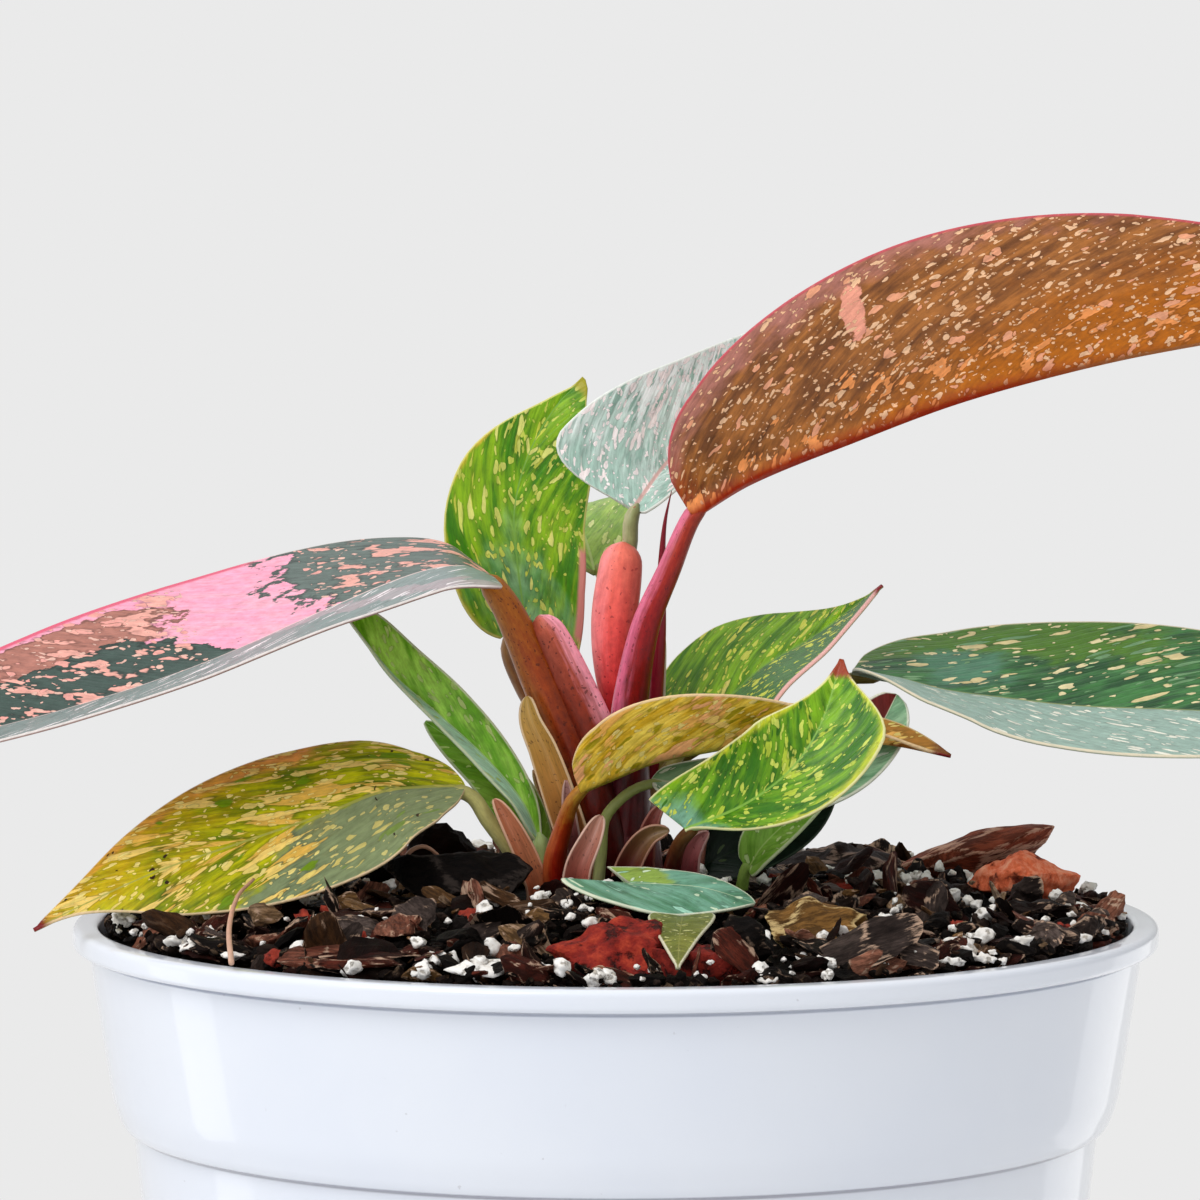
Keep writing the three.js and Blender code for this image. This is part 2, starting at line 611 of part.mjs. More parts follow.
// Soil surface: a low mound, a little lower where the front stones lie
function groundHeight(x, y) {
  const r = Math.hypot(x, y);
  const mound = SOIL_EDGE_HEIGHT + SOIL_MOUND * (1 - (r / SOIL_RADIUS) ** 2);
  const dip = ((x - DIP_X) ** 2 + (y - DIP_Y) ** 2) / (2 * DIP_SPREAD ** 2);
  return mound - DIP_DEPTH * Math.exp(-dip);
}

// Inside of the pot wall below the collar, moved in by a gap: radius and height from the top down
function wallInside(gap) {
  return [
    [COLLAR_LOW_RADIUS - POT_WALL - gap, COLLAR_LOW_HEIGHT],
    [STEP_RADIUS - 0.8 * EDGE_ROUND - POT_WALL - gap, STEP_HEIGHT + EDGE_ROUND],
    [BASE_RADIUS - POT_WALL - gap, POT_FLOOR + gap],
  ];
}

// The pot: one moulded shell with a rolled lip, a stepped collar and drain holes
function potSolid() {
  const lipLow = POT_HEIGHT - LIP_HEIGHT;
  const outer = [
    [0, 0], [BASE_RADIUS - EDGE_ROUND, 0], [BASE_RADIUS, EDGE_ROUND],
    [STEP_RADIUS - 0.8 * EDGE_ROUND, STEP_HEIGHT - 0.3 * EDGE_ROUND],
    [STEP_RADIUS, STEP_HEIGHT], [STEP_RADIUS + EDGE_ROUND, STEP_HEIGHT + EDGE_ROUND],
    [COLLAR_LOW_RADIUS, COLLAR_LOW_HEIGHT], [COLLAR_TOP_RADIUS, lipLow],
    [RIM_RADIUS - 0.4 * EDGE_ROUND, lipLow + 0.3 * EDGE_ROUND], [RIM_RADIUS, lipLow + 1.5 * EDGE_ROUND],
    [RIM_RADIUS - 0.6 * EDGE_ROUND, POT_HEIGHT - 0.3 * EDGE_ROUND],
    [RIM_RADIUS - 1.6 * EDGE_ROUND, POT_HEIGHT],
  ];
  const inner = [
    [COLLAR_TOP_RADIUS - POT_WALL + 0.4 * EDGE_ROUND, POT_HEIGHT - 0.5 * EDGE_ROUND],
    ...wallInside(0), [0, POT_FLOOR],
  ];
  const profile = [...outer, ...inner].map(([r, z]) => new THREE.Vector2(r, z));
  const shell = new THREE.LatheGeometry(profile, POT_SIDES);
  shell.rotateX(Math.PI / 2);
  let solid = solidOf(shell);
  for (let i = 0; i < DRAIN_HOLES; i += 1) {
    const turn = (2 * Math.PI * (i + 0.5)) / DRAIN_HOLES;
    const drill = new THREE.CylinderGeometry(DRAIN_RADIUS, DRAIN_RADIUS, 3 * POT_FLOOR, 10);
    drill.rotateX(Math.PI / 2);
    drill.translate(DRAIN_CIRCLE * Math.cos(turn), DRAIN_CIRCLE * Math.sin(turn), POT_FLOOR / 2);
    solid = solid.subtract(solidOf(drill));
  }
  return solid;
}

// One rough lump with flat faces: a stretched icosahedron with its corners pushed about
function lumpSolid({ at, size, turn, tilt, seed, detail = 0, rough = 0.16 }, swell = 0) {
  const draw = seededRandom(seed);
  const lump = new THREE.IcosahedronGeometry(1, detail);
  lump.deleteAttribute('normal');
  lump.deleteAttribute('uv');
  const shape = mergeVertices(lump, 1e-4);
  const corner = shape.attributes.position;
  for (let i = 0; i < corner.count; i += 1) {
    const push = 1 + rough * (2 * draw() - 1);
    corner.setXYZ(i, corner.getX(i) * push, corner.getY(i) * push, corner.getZ(i) * push);
  }
  shape.scale(size[0] / 2 + swell, size[1] / 2 + swell, size[2] / 2 + swell);
  shape.rotateX(rad(tilt[0]));
  shape.rotateY(rad(tilt[1]));
  shape.rotateZ(rad(turn));
  shape.translate(...at);
  return solidOf(shape);
}

// One bark chip: a flat split piece with uneven corners
function chipSolid({ at, size, turn, tilt, seed }, swell = 0) {
  const draw = seededRandom(seed);
  const chip = new THREE.BoxGeometry(1, 1, 1);
  chip.deleteAttribute('normal');
  chip.deleteAttribute('uv');
  const shape = mergeVertices(chip, 1e-4);
  const corner = shape.attributes.position;
  for (let i = 0; i < corner.count; i += 1) {
    const long = 0.62 + 0.38 * draw();
    const slide = 0.16 * (2 * draw() - 1);
    const wide = 0.6 + 0.4 * draw();
    corner.setXYZ(i, corner.getX(i) * long + slide, corner.getY(i) * wide, corner.getZ(i));
  }
  shape.scale(size[0] + 2 * swell, size[1] + 2 * swell, size[2] + 2 * swell);
  shape.rotateX(rad(tilt[0]));
  shape.rotateY(rad(tilt[1]));
  shape.rotateZ(rad(turn));
  shape.translate(...at);
  return solidOf(shape);
}

// Stones and large bark pieces that lie loose on the mix
const STONES = [
  {
    name: 'lava_rock_front', at: [-1.5, -54, 118.6], size: [15.5, 14, 11],
    turn: 20, tilt: [6, -8], seed: 11, detail: 1,
  },
  {
    name: 'lava_rock_middle', at: [10.5, -58, 117.8], size: [15, 10, 7.5],
    turn: -12, tilt: [0, 5], seed: 23, detail: 1,
  },
  {
    name: 'lava_rock_right', at: [58.5, 8, 122.4], size: [17, 14, 9],
    turn: 8, tilt: [0, 0], seed: 37, detail: 1,
  },
];
const SLABS = [
  {
    name: 'bark_slab_red', at: [50.5, 25, 124.4], size: [23, 9, 4],
    turn: 6, tilt: [2, -11], seed: 41,
  },
  {
    name: 'bark_mound_right', at: [31, 20, 122.6], size: [18, 13, 6],
    turn: -10, tilt: [6, 4], seed: 53,
  },
  {
    name: 'bark_chunk_tan', at: [27, -38, 120.6], size: [12, 9, 5],
    turn: 25, tilt: [24, -14], seed: 67,
  },
  {
    name: 'bark_chunk_black', at: [-20.5, -13.5, 124], size: [18, 10, 7],
    turn: -8, tilt: [10, 6], seed: 79,
  },
];

// What all the small sheaths share: hollowed like a boat, blunt at the foot, a little thicker
const SHEATH_FORM = {
  round: [0.35, 0.35], taper: 0.4, start: [0.1, 0.1], curl: [30, 30],
  ridge: 0, rows: 6, thick: 0.8, columns: SLIM,
};

const leafPieces = LEAVES.map((leaf) => {
  let solid = bladeSolid(leaf).add(stalkSolid(leaf.stalk));
  let guard = stalkSolid(leaf.stalk, GAP);
  if (leaf.sheath) {
    solid = solid.add(stalkSolid(leaf.sheath));
    guard = guard.add(stalkSolid(leaf.sheath, GAP));
  }
  const lowGuard = leaf.low ? bladeSolid(leaf, GAP).add(guard) : guard;
  return { ...leaf, solid, guard, lowGuard };
});
const sheathPieces = SHEATHS.map((sheath) => {
  const blade = { ...SHEATH_FORM, ...sheath };
  return { ...sheath, solid: bladeSolid(blade), guard: bladeSolid(blade, GAP) };
});
const spearPieces = SPEARS.map((spear) => (
  { ...spear, solid: stalkSolid(spear), guard: stalkSolid(spear, GAP) }
));

const crown = stalkSolid(CROWN);
const plantPieces = [
  { name: 'crown_stem', color: 0x5a1f22, solid: crown, guard: stalkSolid(CROWN, GAP) },
  ...leafPieces,
  ...sheathPieces,
  ...spearPieces,
];

// Each piece gives way to those before it, so that the stalks stand beside the crown and each other
const placed = [];
plantPieces.forEach((piece) => {
  let { solid } = piece;
  placed.forEach((other) => {
    solid = solid.subtract(other.guard);
  });
  placed.push({ ...piece, solid: largestPiece(solid) });
});

// The mix: it fills the pot, its chips are sunk in its surface, and the stems stand in holes in it
function mixSolid() {
  const rings = [0.17, 0.34, 0.51, 0.68, 0.85, 1];
  const spokes = 24;
  const draw = seededRandom(5);
  const edge = COLLAR_TOP_RADIUS - POT_WALL - SOIL_GAP;
  const loops = [];
  rings.forEach((ring) => {
    const loop = [];
    for (let i = 0; i < spokes; i += 1) {
      const turn = (2 * Math.PI * i) / spokes;
      const x = ring * edge * Math.cos(turn);
      const y = ring * edge * Math.sin(turn);
      const bump = SURFACE_BUMP * (ring === 1 ? -0.4 : draw() - 0.6);
      loop.push(new THREE.Vector3(x, y, groundHeight(x, y) + bump));
    }
    loops.push(loop);
  });
  wallInside(SOIL_GAP).forEach(([r, z]) => {
    const loop = [];
    for (let i = 0; i < spokes; i += 1) {
      const turn = (2 * Math.PI * i) / spokes;
      loop.push(new THREE.Vector3(r * Math.cos(turn), r * Math.sin(turn), z));
    }
    loops.push(loop);
  });
  loops.forEach((loop) => loop.reverse());
  return solidOf(loftedGeometry(loops));
}

function chipList() {
  const draw = seededRandom(2027);
  const chips = [];
  for (let i = 0; i < CHIP_COUNT; i += 1) {
    const reach = CHIP_REACH * Math.sqrt(draw());
    const turn = 2 * Math.PI * draw();
    const x = reach * Math.cos(turn);
    const y = reach * Math.sin(turn);
    const long = 7 + 9 * draw();
    chips.push({
      at: [x, y, groundHeight(x, y) + 0.3 + 1.2 * draw()],
      size: [long, long * (0.35 + 0.3 * draw()), 2 + 1.6 * draw()],
      turn: 360 * draw(),
      tilt: [30 * (draw() - 0.5), 34 * (draw() - 0.5)],
      seed: 100 + i,
    });
  }
  return chips;
}

const tipLeaf = placed.find((piece) => piece.name === 'leaf_olive_tip');
const stonePieces = [];
function layStone(stone, shape) {
  let solid = shape(stone).subtract(tipLeaf.lowGuard);
  stonePieces.forEach((other) => {
    solid = solid.subtract(other.guard);
  });
  stonePieces.push({ ...stone, solid: largestPiece(solid), guard: shape(stone, 1.6 * GAP) });
}
STONES.forEach((stone) => layStone(stone, lumpSolid));
SLABS.forEach((slab) => layStone(slab, chipSolid));

let mix = mixSolid();
chipList().forEach((chip) => {
  mix = mix.add(chipSolid(chip));
});
placed.forEach((piece) => {
  mix = mix.subtract(piece.lowGuard ?? piece.guard);
});
stonePieces.forEach((stone) => {
  mix = mix.subtract(stone.guard);
});

addPiece('pot', potSolid(), finish(0xeef1f6, 0.2));
addPiece('soil_mix', largestPiece(mix), finish(0x2b211c, 0.95));
stonePieces.forEach((stone) => {
  const color = stone.name.startsWith('lava') ? 0x8a3226 : 0x3a2620;
  addPiece(stone.name, stone.solid, finish(color, 0.95));
});
placed.forEach((piece) => {
  addPiece(piece.name, piece.solid, finish(piece.color, 0.4));
});

export default scene;
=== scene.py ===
"""The looks of a young potted orange princess philodendron, laid out as an add-on.

Lengths in the tables are millimetres in the frame of the part's solids: +Z up, the viewer on the -Y
side, and the origin in the middle of the pot's underside. Meshes are made in metres."""

import functools
import math

import bmesh
import bpy
import numpy as np
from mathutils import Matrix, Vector
from mathutils.kdtree import KDTree


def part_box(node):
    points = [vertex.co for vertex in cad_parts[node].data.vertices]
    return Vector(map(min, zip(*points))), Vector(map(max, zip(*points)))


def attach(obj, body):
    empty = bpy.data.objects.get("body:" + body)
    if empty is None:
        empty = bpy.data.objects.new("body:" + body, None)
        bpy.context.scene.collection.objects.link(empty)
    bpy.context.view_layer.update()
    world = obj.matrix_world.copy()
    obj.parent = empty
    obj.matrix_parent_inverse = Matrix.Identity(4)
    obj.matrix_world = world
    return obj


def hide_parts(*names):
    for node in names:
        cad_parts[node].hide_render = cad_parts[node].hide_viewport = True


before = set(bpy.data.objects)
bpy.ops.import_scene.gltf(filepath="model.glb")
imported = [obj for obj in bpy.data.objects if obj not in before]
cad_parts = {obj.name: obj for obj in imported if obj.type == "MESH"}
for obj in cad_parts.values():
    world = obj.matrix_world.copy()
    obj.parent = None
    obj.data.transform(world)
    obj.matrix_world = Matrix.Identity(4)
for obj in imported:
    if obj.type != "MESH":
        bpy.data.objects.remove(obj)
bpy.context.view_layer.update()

bl_info = {
    "name": "Potted orange princess philodendron",
    "version": (1, 0, 0),
    "blender": (4, 5, 0),
    "location": "3D View > Sidebar > Philodendron",
    "description": "Builds the leaves, stems, mix and pot of a young potted philodendron",
    "category": "Add Mesh",
}

MM = 0.001
BODY = "root"

# The pot, as its solid is
POT_HEIGHT = 118
RIM_RADIUS = 76.5
LIP_HEIGHT = 3.4
COLLAR_TOP_RADIUS = 74.2
COLLAR_LOW_RADIUS = 71
COLLAR_LOW_HEIGHT = 93.6
STEP_RADIUS = 68.9
STEP_HEIGHT = 89.5
STEP_INSET = 0.8
BASE_RADIUS = 58.6
POT_WALL = 1.7
POT_FLOOR = 2
DRAIN_HOLES = 6
DRAIN_RADIUS = 4
DRAIN_CIRCLE = 40

# The top of the mix, as its solid is
SOIL_EDGE_HEIGHT = 117
SOIL_MOUND = 6
SOIL_RADIUS = 74
SOIL_GAP = 0.5
DIP_DEPTH = 1.5
DIP_X = 8
DIP_Y = -55
DIP_SPREAD = 14

# The photograph's view: where the camera stands, how far it looks down, and its long lens
CAMERA_PLACE = (-2.2, -900, 227.6)
CAMERA_PITCH = 4.1
FOCAL_PIXELS = 6410
PICTURE_PIXELS = 1200
SENSOR_WIDTH = 36
BACKDROP_GREY = 0.823

# The narrowest a blade gets, at its tip
TIP_WIDTH = 0.7

# Leaves, as their solids are. The first of each pair is the half on the right of the rib.
#   slot     material slot of the record
#   stalk    line of the stalk and its radii at the foot, half way and at the end; sheath the same
#            for what wraps it, and how flat that is
#   rib      line of the midrib; face the way the upper side looks, at the base and at the tip
#   width    greatest half widths; round, start and taper how they grow and shrink; heel how blunt the
#            base is; beak where a half narrows to its tip, and to which share
#   lobe     how far the base reaches back past the stalk
#   fold     degrees by which a half rises at the base, half way and at the tip; curl how many more
#            at the margin; wave the height, number and start of the waves there
#   ridge    height of the keel under the rib; thick thickness of the blade
LEAVES = [
    dict(
        name="leaf_bronze_right", slot="bronze_leaf",
        stalk=dict(path=[(1, 0, 124), (1.5, 0, 133.5), (2, -1, 147.5), (3, -2, 154.5), (4.5, -2, 160.5),
            (7.5, -2, 167.5), (10.5, -1, 174.5), (13, -1.2, 177.5)], radius=(4.2, 2.4, 1.3)),
        rib=[(10.2, -1, 176), (18.5, -2, 181), (33, -3, 186.8), (47, -3, 191.9), (61.5, -3, 195.9),
            (75.5, -3, 198.9), (88.5, -3, 200.6), (102.5, -3, 199.6), (116, -3, 194)],
        face=[(0, 0, 1)], width=(23.4, 22.5), round=(0.55, 0.45), start=(0.007, 0.012),
        taper=(0.9, 0.7), heel=(0.008, 0.02), beak=[(0.9, 1, 0.98), (0.9, 1, 1)], lobe=(3.9, 1.5),
        fold=[(48, 71, 45), (50, 42, 36)], curl=(24, 14), ridge=1.5,
    ),
    dict(
        name="leaf_pink_left", slot="pink_leaf",
        stalk=dict(path=[(-0.5, -1, 124.5), (-3.5, -2, 135.5), (-6, -2, 142), (-9, -2, 148.5),
            (-11.5, -2, 154), (-13.5, -2, 158.5), (-15.5, -2, 162.5), (-18.5, -2, 166.8)],
            radius=(3.9, 3.1, 1.7)),
        sheath=dict(path=[(-0.5, -3, 138), (-3, -3, 144.5), (-5.7, -2.5, 150.5), (-8.7, -2, 157),
            (-10.9, -1.6, 161)], radius=(2.9, 3.1, 2.3), flat=0.8),
        rib=[(-17.5, -2, 166.5), (-21.5, -3, 168), (-28, -4, 167), (-39.5, -6, 162.5), (-58, -8, 154.5),
            (-76.5, -10, 148.5), (-94, -12, 144), (-109, -14, 139)],
        face=[(0, 0, 1)], width=(22.5, 19), round=(0.41, 0.1), start=(0.002, 0.08), taper=(0.66, 0.37),
        heel=(0.014, 0.049), beak=[(0.9, 1, 0.9), (0.89, 1, 1)], lobe=(0.1, 0.3),
        fold=[(8, 30, 37), (-6, -1, -7)],
    ),
    dict(
        name="leaf_silver_top", slot="silver_leaf",
        stalk=dict(path=[(0.5, 3.5, 126), (-1, 4.5, 143), (-0.5, 4.5, 154.5), (0.5, 5, 164),
            (2, 6, 170.5), (2.2, 6.2, 174), (3.2, 7.2, 176.3)], radius=(1.6, 1.3, 1.1)),
        sheath=dict(path=[(0, 4.2, 146), (-0.4, 4.2, 153), (-0.2, 4.2, 160), (0.6, 4.4, 166.5),
            (1.1, 4.8, 171)], radius=(1.3, 3.2, 2.7), flat=0.75),
        rib=[(2.5, 7, 175.5), (7, 11, 181.5), (14.5, 17, 189), (21, 23, 196), (26.5, 28, 202.5)],
        face=[(-0.1, -0.95, 0.15)], width=(6.4, 16), round=(0.56, 0.1), start=(0.031, 0.22),
        taper=(0.56, 0.9), heel=(0.008, 0.134), beak=[(0.9, 1, 1), (0.89, 1, 0.99)], lobe=(1.7, 2.4),
        fold=[(25, 26, 20), (-10, 26, 5)], curl=(10, 6),
    ),
    dict(
        name="leaf_heart_back", slot="green_leaf",
        stalk=dict(path=[(-1.5, 4, 127.5), (-6, 8, 137), (-10, 12, 144), (-13.5, 16, 149.5),
            (-15.5, 18.5, 154.5), (-14.5, 20, 157.5), (-13.5, 20.5, 159.5)], radius=(1.9, 1.2, 1)),
        rib=[(-13, 20, 159), (-14, 19.5, 166.5), (-14.5, 19.5, 174.5), (-12.5, 20, 182.5),
            (-8.5, 21, 189.5), (-4.5, 22, 193.5)],
        face=[(-0.1, -1, 0.15)], width=(10.4, 10.1), round=(0.65, 1.13), start=(0.291, 0.11),
        taper=(0.48, 1.43), heel=(0.008, 0.008), beak=[(0.77, 1, 0.51), (0.55, 1, 0.47)],
        lobe=(9.6, 11.1), fold=[(19, 0, 9), (22, 2, 17)], wave=(0.6, 3, 0),
    ),
    dict(
        name="leaf_green_rear", slot="green_leaf",
        stalk=dict(path=[(0.5, 5.5, 125), (1, 10, 142.5), (0.6, 16, 155), (-0.8, 22, 163),
            (-2.6, 27, 166.4)], radius=(1.9, 1.3, 1.1)),
        rib=[(-3, 25, 165.5), (-4.5, 32, 170), (-7, 44, 173), (-9, 60, 171), (-10, 76, 164)],
        face=[(0, 0, 1)], width=(8.5, 11), lobe=(2, 2), fold=[(20, 14, 8), (20, 14, 8)],
    ),
    dict(
        name="leaf_dark_right", slot="dark_leaf",
        stalk=dict(path=[(3, 2, 125), (5, 5, 134.5), (7.5, 6, 139), (17.5, 8, 144.5), (26.5, 10, 147),
            (33.5, 11, 151), (38, 10.8, 151)], radius=(1.6, 1.1, 0.9)),
        rib=[(33.8, 11, 152.2), (40.5, 10, 151.1), (47, 9, 149.5), (55, 8, 148.5), (65.5, 6, 147.5),
            (82.5, 4, 147), (96.5, 2, 146), (110.5, 0, 143), (120.5, -1, 139)],
        face=[(0, 0, 1)], width=(19.3, 20.9), round=(0.5, 0.53), start=(0.011, 0.002),
        taper=(0.78, 0.72), heel=(0.05, 0.019), beak=[(0.9, 1, 1), (0.9, 1, 0.78)], lobe=(3.3, 5.6),
        fold=[(11, -16, -2), (18, 32, 10)],
    ),
    dict(
        name="leaf_green_right", slot="green_leaf",
        stalk=dict(path=[(2.5, 3, 126), (5, 3.6, 134.5), (8, 4, 139.5), (10.5, 4.6, 143),
            (13.5, 5.4, 146.3)], radius=(1.5, 1.1, 0.9)),
        rib=[(12, 5, 145), (17, 6.5, 149.5), (21, 7.5, 153), (28, 9.5, 157), (33.5, 10.5, 161),
            (38, 11.5, 164.4)],
        face=[(-0.45, -0.5, 0.7)], width=(13.7, 14.1), round=(0.14, 0.59), start=(0.041, 0.083),
        taper=(0.92, 1.29), heel=(0.032, 0.035), beak=[(0.95, 1, 0.47), (0.55, 1, 0.2)], lobe=(2, 2.2),
        fold=[(12, 15, 18), (7, 3, -6)],
    ),
    dict(
        name="leaf_lime_left", slot="lime_leaf",
        stalk=dict(path=[(-9, -3.5, 117), (-10, -4, 121.5), (-12, -5, 124.5), (-15, -7, 129),
            (-18, -8, 133), (-20, -8, 136), (-23, -8.4, 137.3)], radius=(1.8, 1.3, 1)),
        rib=[(-21, -8, 137.5), (-26, -9, 137.5), (-32.5, -11, 137), (-41, -14, 134), (-52, -17, 130.5),
            (-63, -20, 127), (-72.5, -23, 123), (-80, -25, 119.5)],
        face=[(0, -0.57, 0.82)], width=(14.2, 14.3), round=(0.66, 0.59), start=(0.012, 0.002),
        taper=(0.94, 1.09), heel=(0.025, 0.027), beak=[(0.55, 1, 0.74), (0.69, 1, 0.2)],
        lobe=(-2.1, -1.8), fold=[(-1, 3, -9), (12, -3, -6)],
    ),
    dict(
        name="leaf_slender_left", slot="green_leaf",
        stalk=dict(path=[(-8.5, -0.5, 117), (-9.5, -1, 121.5), (-10, -2, 125), (-10.8, -2, 130.5)],
            radius=(1.6, 1.4, 1)),
        rib=[(-10.5, -2, 128.5), (-13, -2, 134.5), (-18, -1, 140.5), (-24.5, 0, 146.5),
            (-31.5, 2, 152.5), (-36.5, 4, 158.5), (-39.5, 6, 162.5)],
        face=[(0.35, -0.85, 0.4)], width=(5.3, 3.1), round=(0.87, 0.48), start=(0.008, 0.002),
        taper=(0.5, 1.5), heel=(0.032, 0.038), beak=[(0.85, 1, 0.86), (0.55, 1, 0.2)],
        lobe=(-0.8, -4.5), fold=[(31, 29, 31), (28, 35, 54)],
    ),
    dict(
        name="leaf_olive_front", slot="olive_leaf",
        stalk=dict(path=[(-8, -8, 117), (-8, -8, 121), (-8.5, -9, 124.5), (-8.5, -10, 127.5),
            (-7.5, -11, 131.5), (-6, -13, 136), (-3.4, -14.2, 139)], radius=(2.2, 1.5, 0.8)),
        rib=[(-5.1, -14, 137.8), (-0.5, -15, 139.8), (5, -15, 142), (13, -14, 143.5),
            (21.5, -12, 144.5), (30, -10, 144.4), (38.5, -9, 143.8), (46.8, -9, 142)],
        face=[(0, 0, 1)], width=(9.7, 9), round=(0.48, 0.3), start=(0.013, 0.012), taper=(1.5, 0.7),
        heel=(0.008, 0.03), lobe=(-1.5, 0), fold=[(60, 57, 30), (40, 34, 50)], curl=(14, 8),
    ),
    dict(
        name="leaf_green_front", slot="green_leaf",
        stalk=dict(path=[(7, -8, 117), (7.5, -10, 123.5), (8, -14, 127.5), (9, -19, 131),
            (11, -22.6, 133.6)], radius=(1.7, 1.2, 0.9)),
        rib=[(9.5, -22, 133), (17, -26, 136.5), (22.5, -28, 140.5), (26, -28, 144.5), (28.5, -26, 149),
            (31, -22, 156.5)],
        face=[(-0.15, -0.8, 0.55)], width=(10, 8.6), round=(1.3, 0.36), start=(0.002, 0.108),
        taper=(0.52, 0.49), heel=(0.02, 0.008), beak=[(0.71, 1, 0.2), (0.58, 1, 0.2)], lobe=(-4, 9),
        fold=[(20, 8, 23), (3, 18, 19)],
    ),
    dict(
        name="leaf_grey_behind", slot="silver_leaf",
        stalk=dict(path=[(-2.5, -7, 117), (-2.5, -7.5, 122.5), (-2, -8, 128.5), (-1.5, -8, 133),
            (1, -8, 136), (3.5, -8, 137.5), (6.5, -8.3, 138.2)], radius=(1.0, 0.8, 0.7)),
        rib=[(5, -8, 138.5), (12, -9, 137.5), (20, -9, 137), (30, -7, 140), (36.5, -5, 145),
            (39.5, -3, 150)],
        face=[(0, -0.6, 0.7), (0, -0.8, 0.4)], width=(6, 6.5), round=(0.5, 0.5), start=(0.01, 0.01),
        taper=(0.45, 0.45), fold=[(10, 10, 10), (10, 10, 30)],
    ),
    dict(
        name="leaf_light_low", slot="green_leaf",
        stalk=dict(path=[(17, -9, 117), (17.5, -10.5, 122.5), (18, -12, 126), (19, -13, 128)],
            radius=(1, 0.9, 0.8)),
        rib=[(18.5, -13, 126.5), (20.5, -15, 130), (25.5, -17, 135), (30.5, -17.5, 139)],
        face=[(-0.6, -0.7, 0.3)], width=(4, 4), fold=[(25, 20, 15), (25, 20, 15)],
    ),
    dict(
        name="leaf_shade_right", slot="dark_leaf",
        stalk=dict(path=[(10, -2, 116), (10.5, -2, 123), (12.5, -2, 126)], radius=(1.2, 1, 0.8)),
        rib=[(11.5, -2, 125.2), (16, -2, 127.5), (21, -2, 129.5), (26, -1.5, 132), (31, -1, 136)],
        face=[(0, -0.9, 0.4)], width=(4.5, 5), fold=[(12, 12, 12), (12, 12, 12)],
    ),
    dict(
        name="leaf_bluish_low", slot="bluish_leaf",
        stalk=dict(path=[(4, -13, 116.5), (3.5, -16, 121), (2.4, -20, 123.2), (3.4, -23.4, 124.7)],
            radius=(1, 0.9, 0.8)),
        rib=[(2, -23, 125.6), (6, -24, 125.6), (12, -25, 125.2), (19, -27.5, 123.4)],
        face=[(0, -0.35, 0.93)], width=(10.3, 4.2), round=(0.1, 0.16), start=(0.027, 0.088),
        taper=(0.63, 0.55), heel=(0.008, 0.008), beak=[(0.9, 1, 0.94), (0.9, 1, 1)], lobe=(8.6, 4.9),
        fold=[(31, -4, 4), (8, 3, 3)],
    ),
    dict(
        name="leaf_olive_tip", slot="olive_leaf",
        stalk=dict(path=[(9.5, -37, 116), (9.4, -37.2, 120), (9, -36.4, 122.1)], radius=(1, 0.9, 0.8)),
        rib=[(9, -34.8, 122.4), (8.7, -44, 122.4), (8.3, -55, 121.7), (8, -65.5, 119.5)],
        face=[(0, 0, 1)], width=(4.6, 4.6), round=(0.2, 0.2), taper=(0.9, 0.9),
        fold=[(8, 8, 8), (8, 8, 8)],
    ),
    dict(
        name="leaf_bright_left", slot="green_leaf",
        stalk=dict(path=[(-9.5, 2.5, 116), (-9.8, 2, 121), (-10.6, 2, 125.5)], radius=(1, 0.9, 0.8)),
        rib=[(-10.2, 2, 124), (-13.5, 2.5, 133), (-17.5, 3, 138.5), (-22.5, 3.5, 142.5),
            (-27, 4, 145.5)],
        face=[(0.3, -0.9, 0.3)], width=(3.6, 4.4), round=(0.5, 0.5), fold=[(10, 10, 10), (10, 10, 10)],
    ),
]
BLADE_DEFAULTS = dict(
    round=(0.42, 0.42), taper=(0.65, 0.65), start=(0.03, 0.03), lobe=(0, 0),
    fold=[(8, 8, 8), (8, 8, 8)], curl=(0, 0), wave=(0, 0, 0), thick=0.5, ridge=0.6, heel=(0.03, 0.03),
    beak=[(0.9, 1, 1), (0.9, 1, 1)],
)

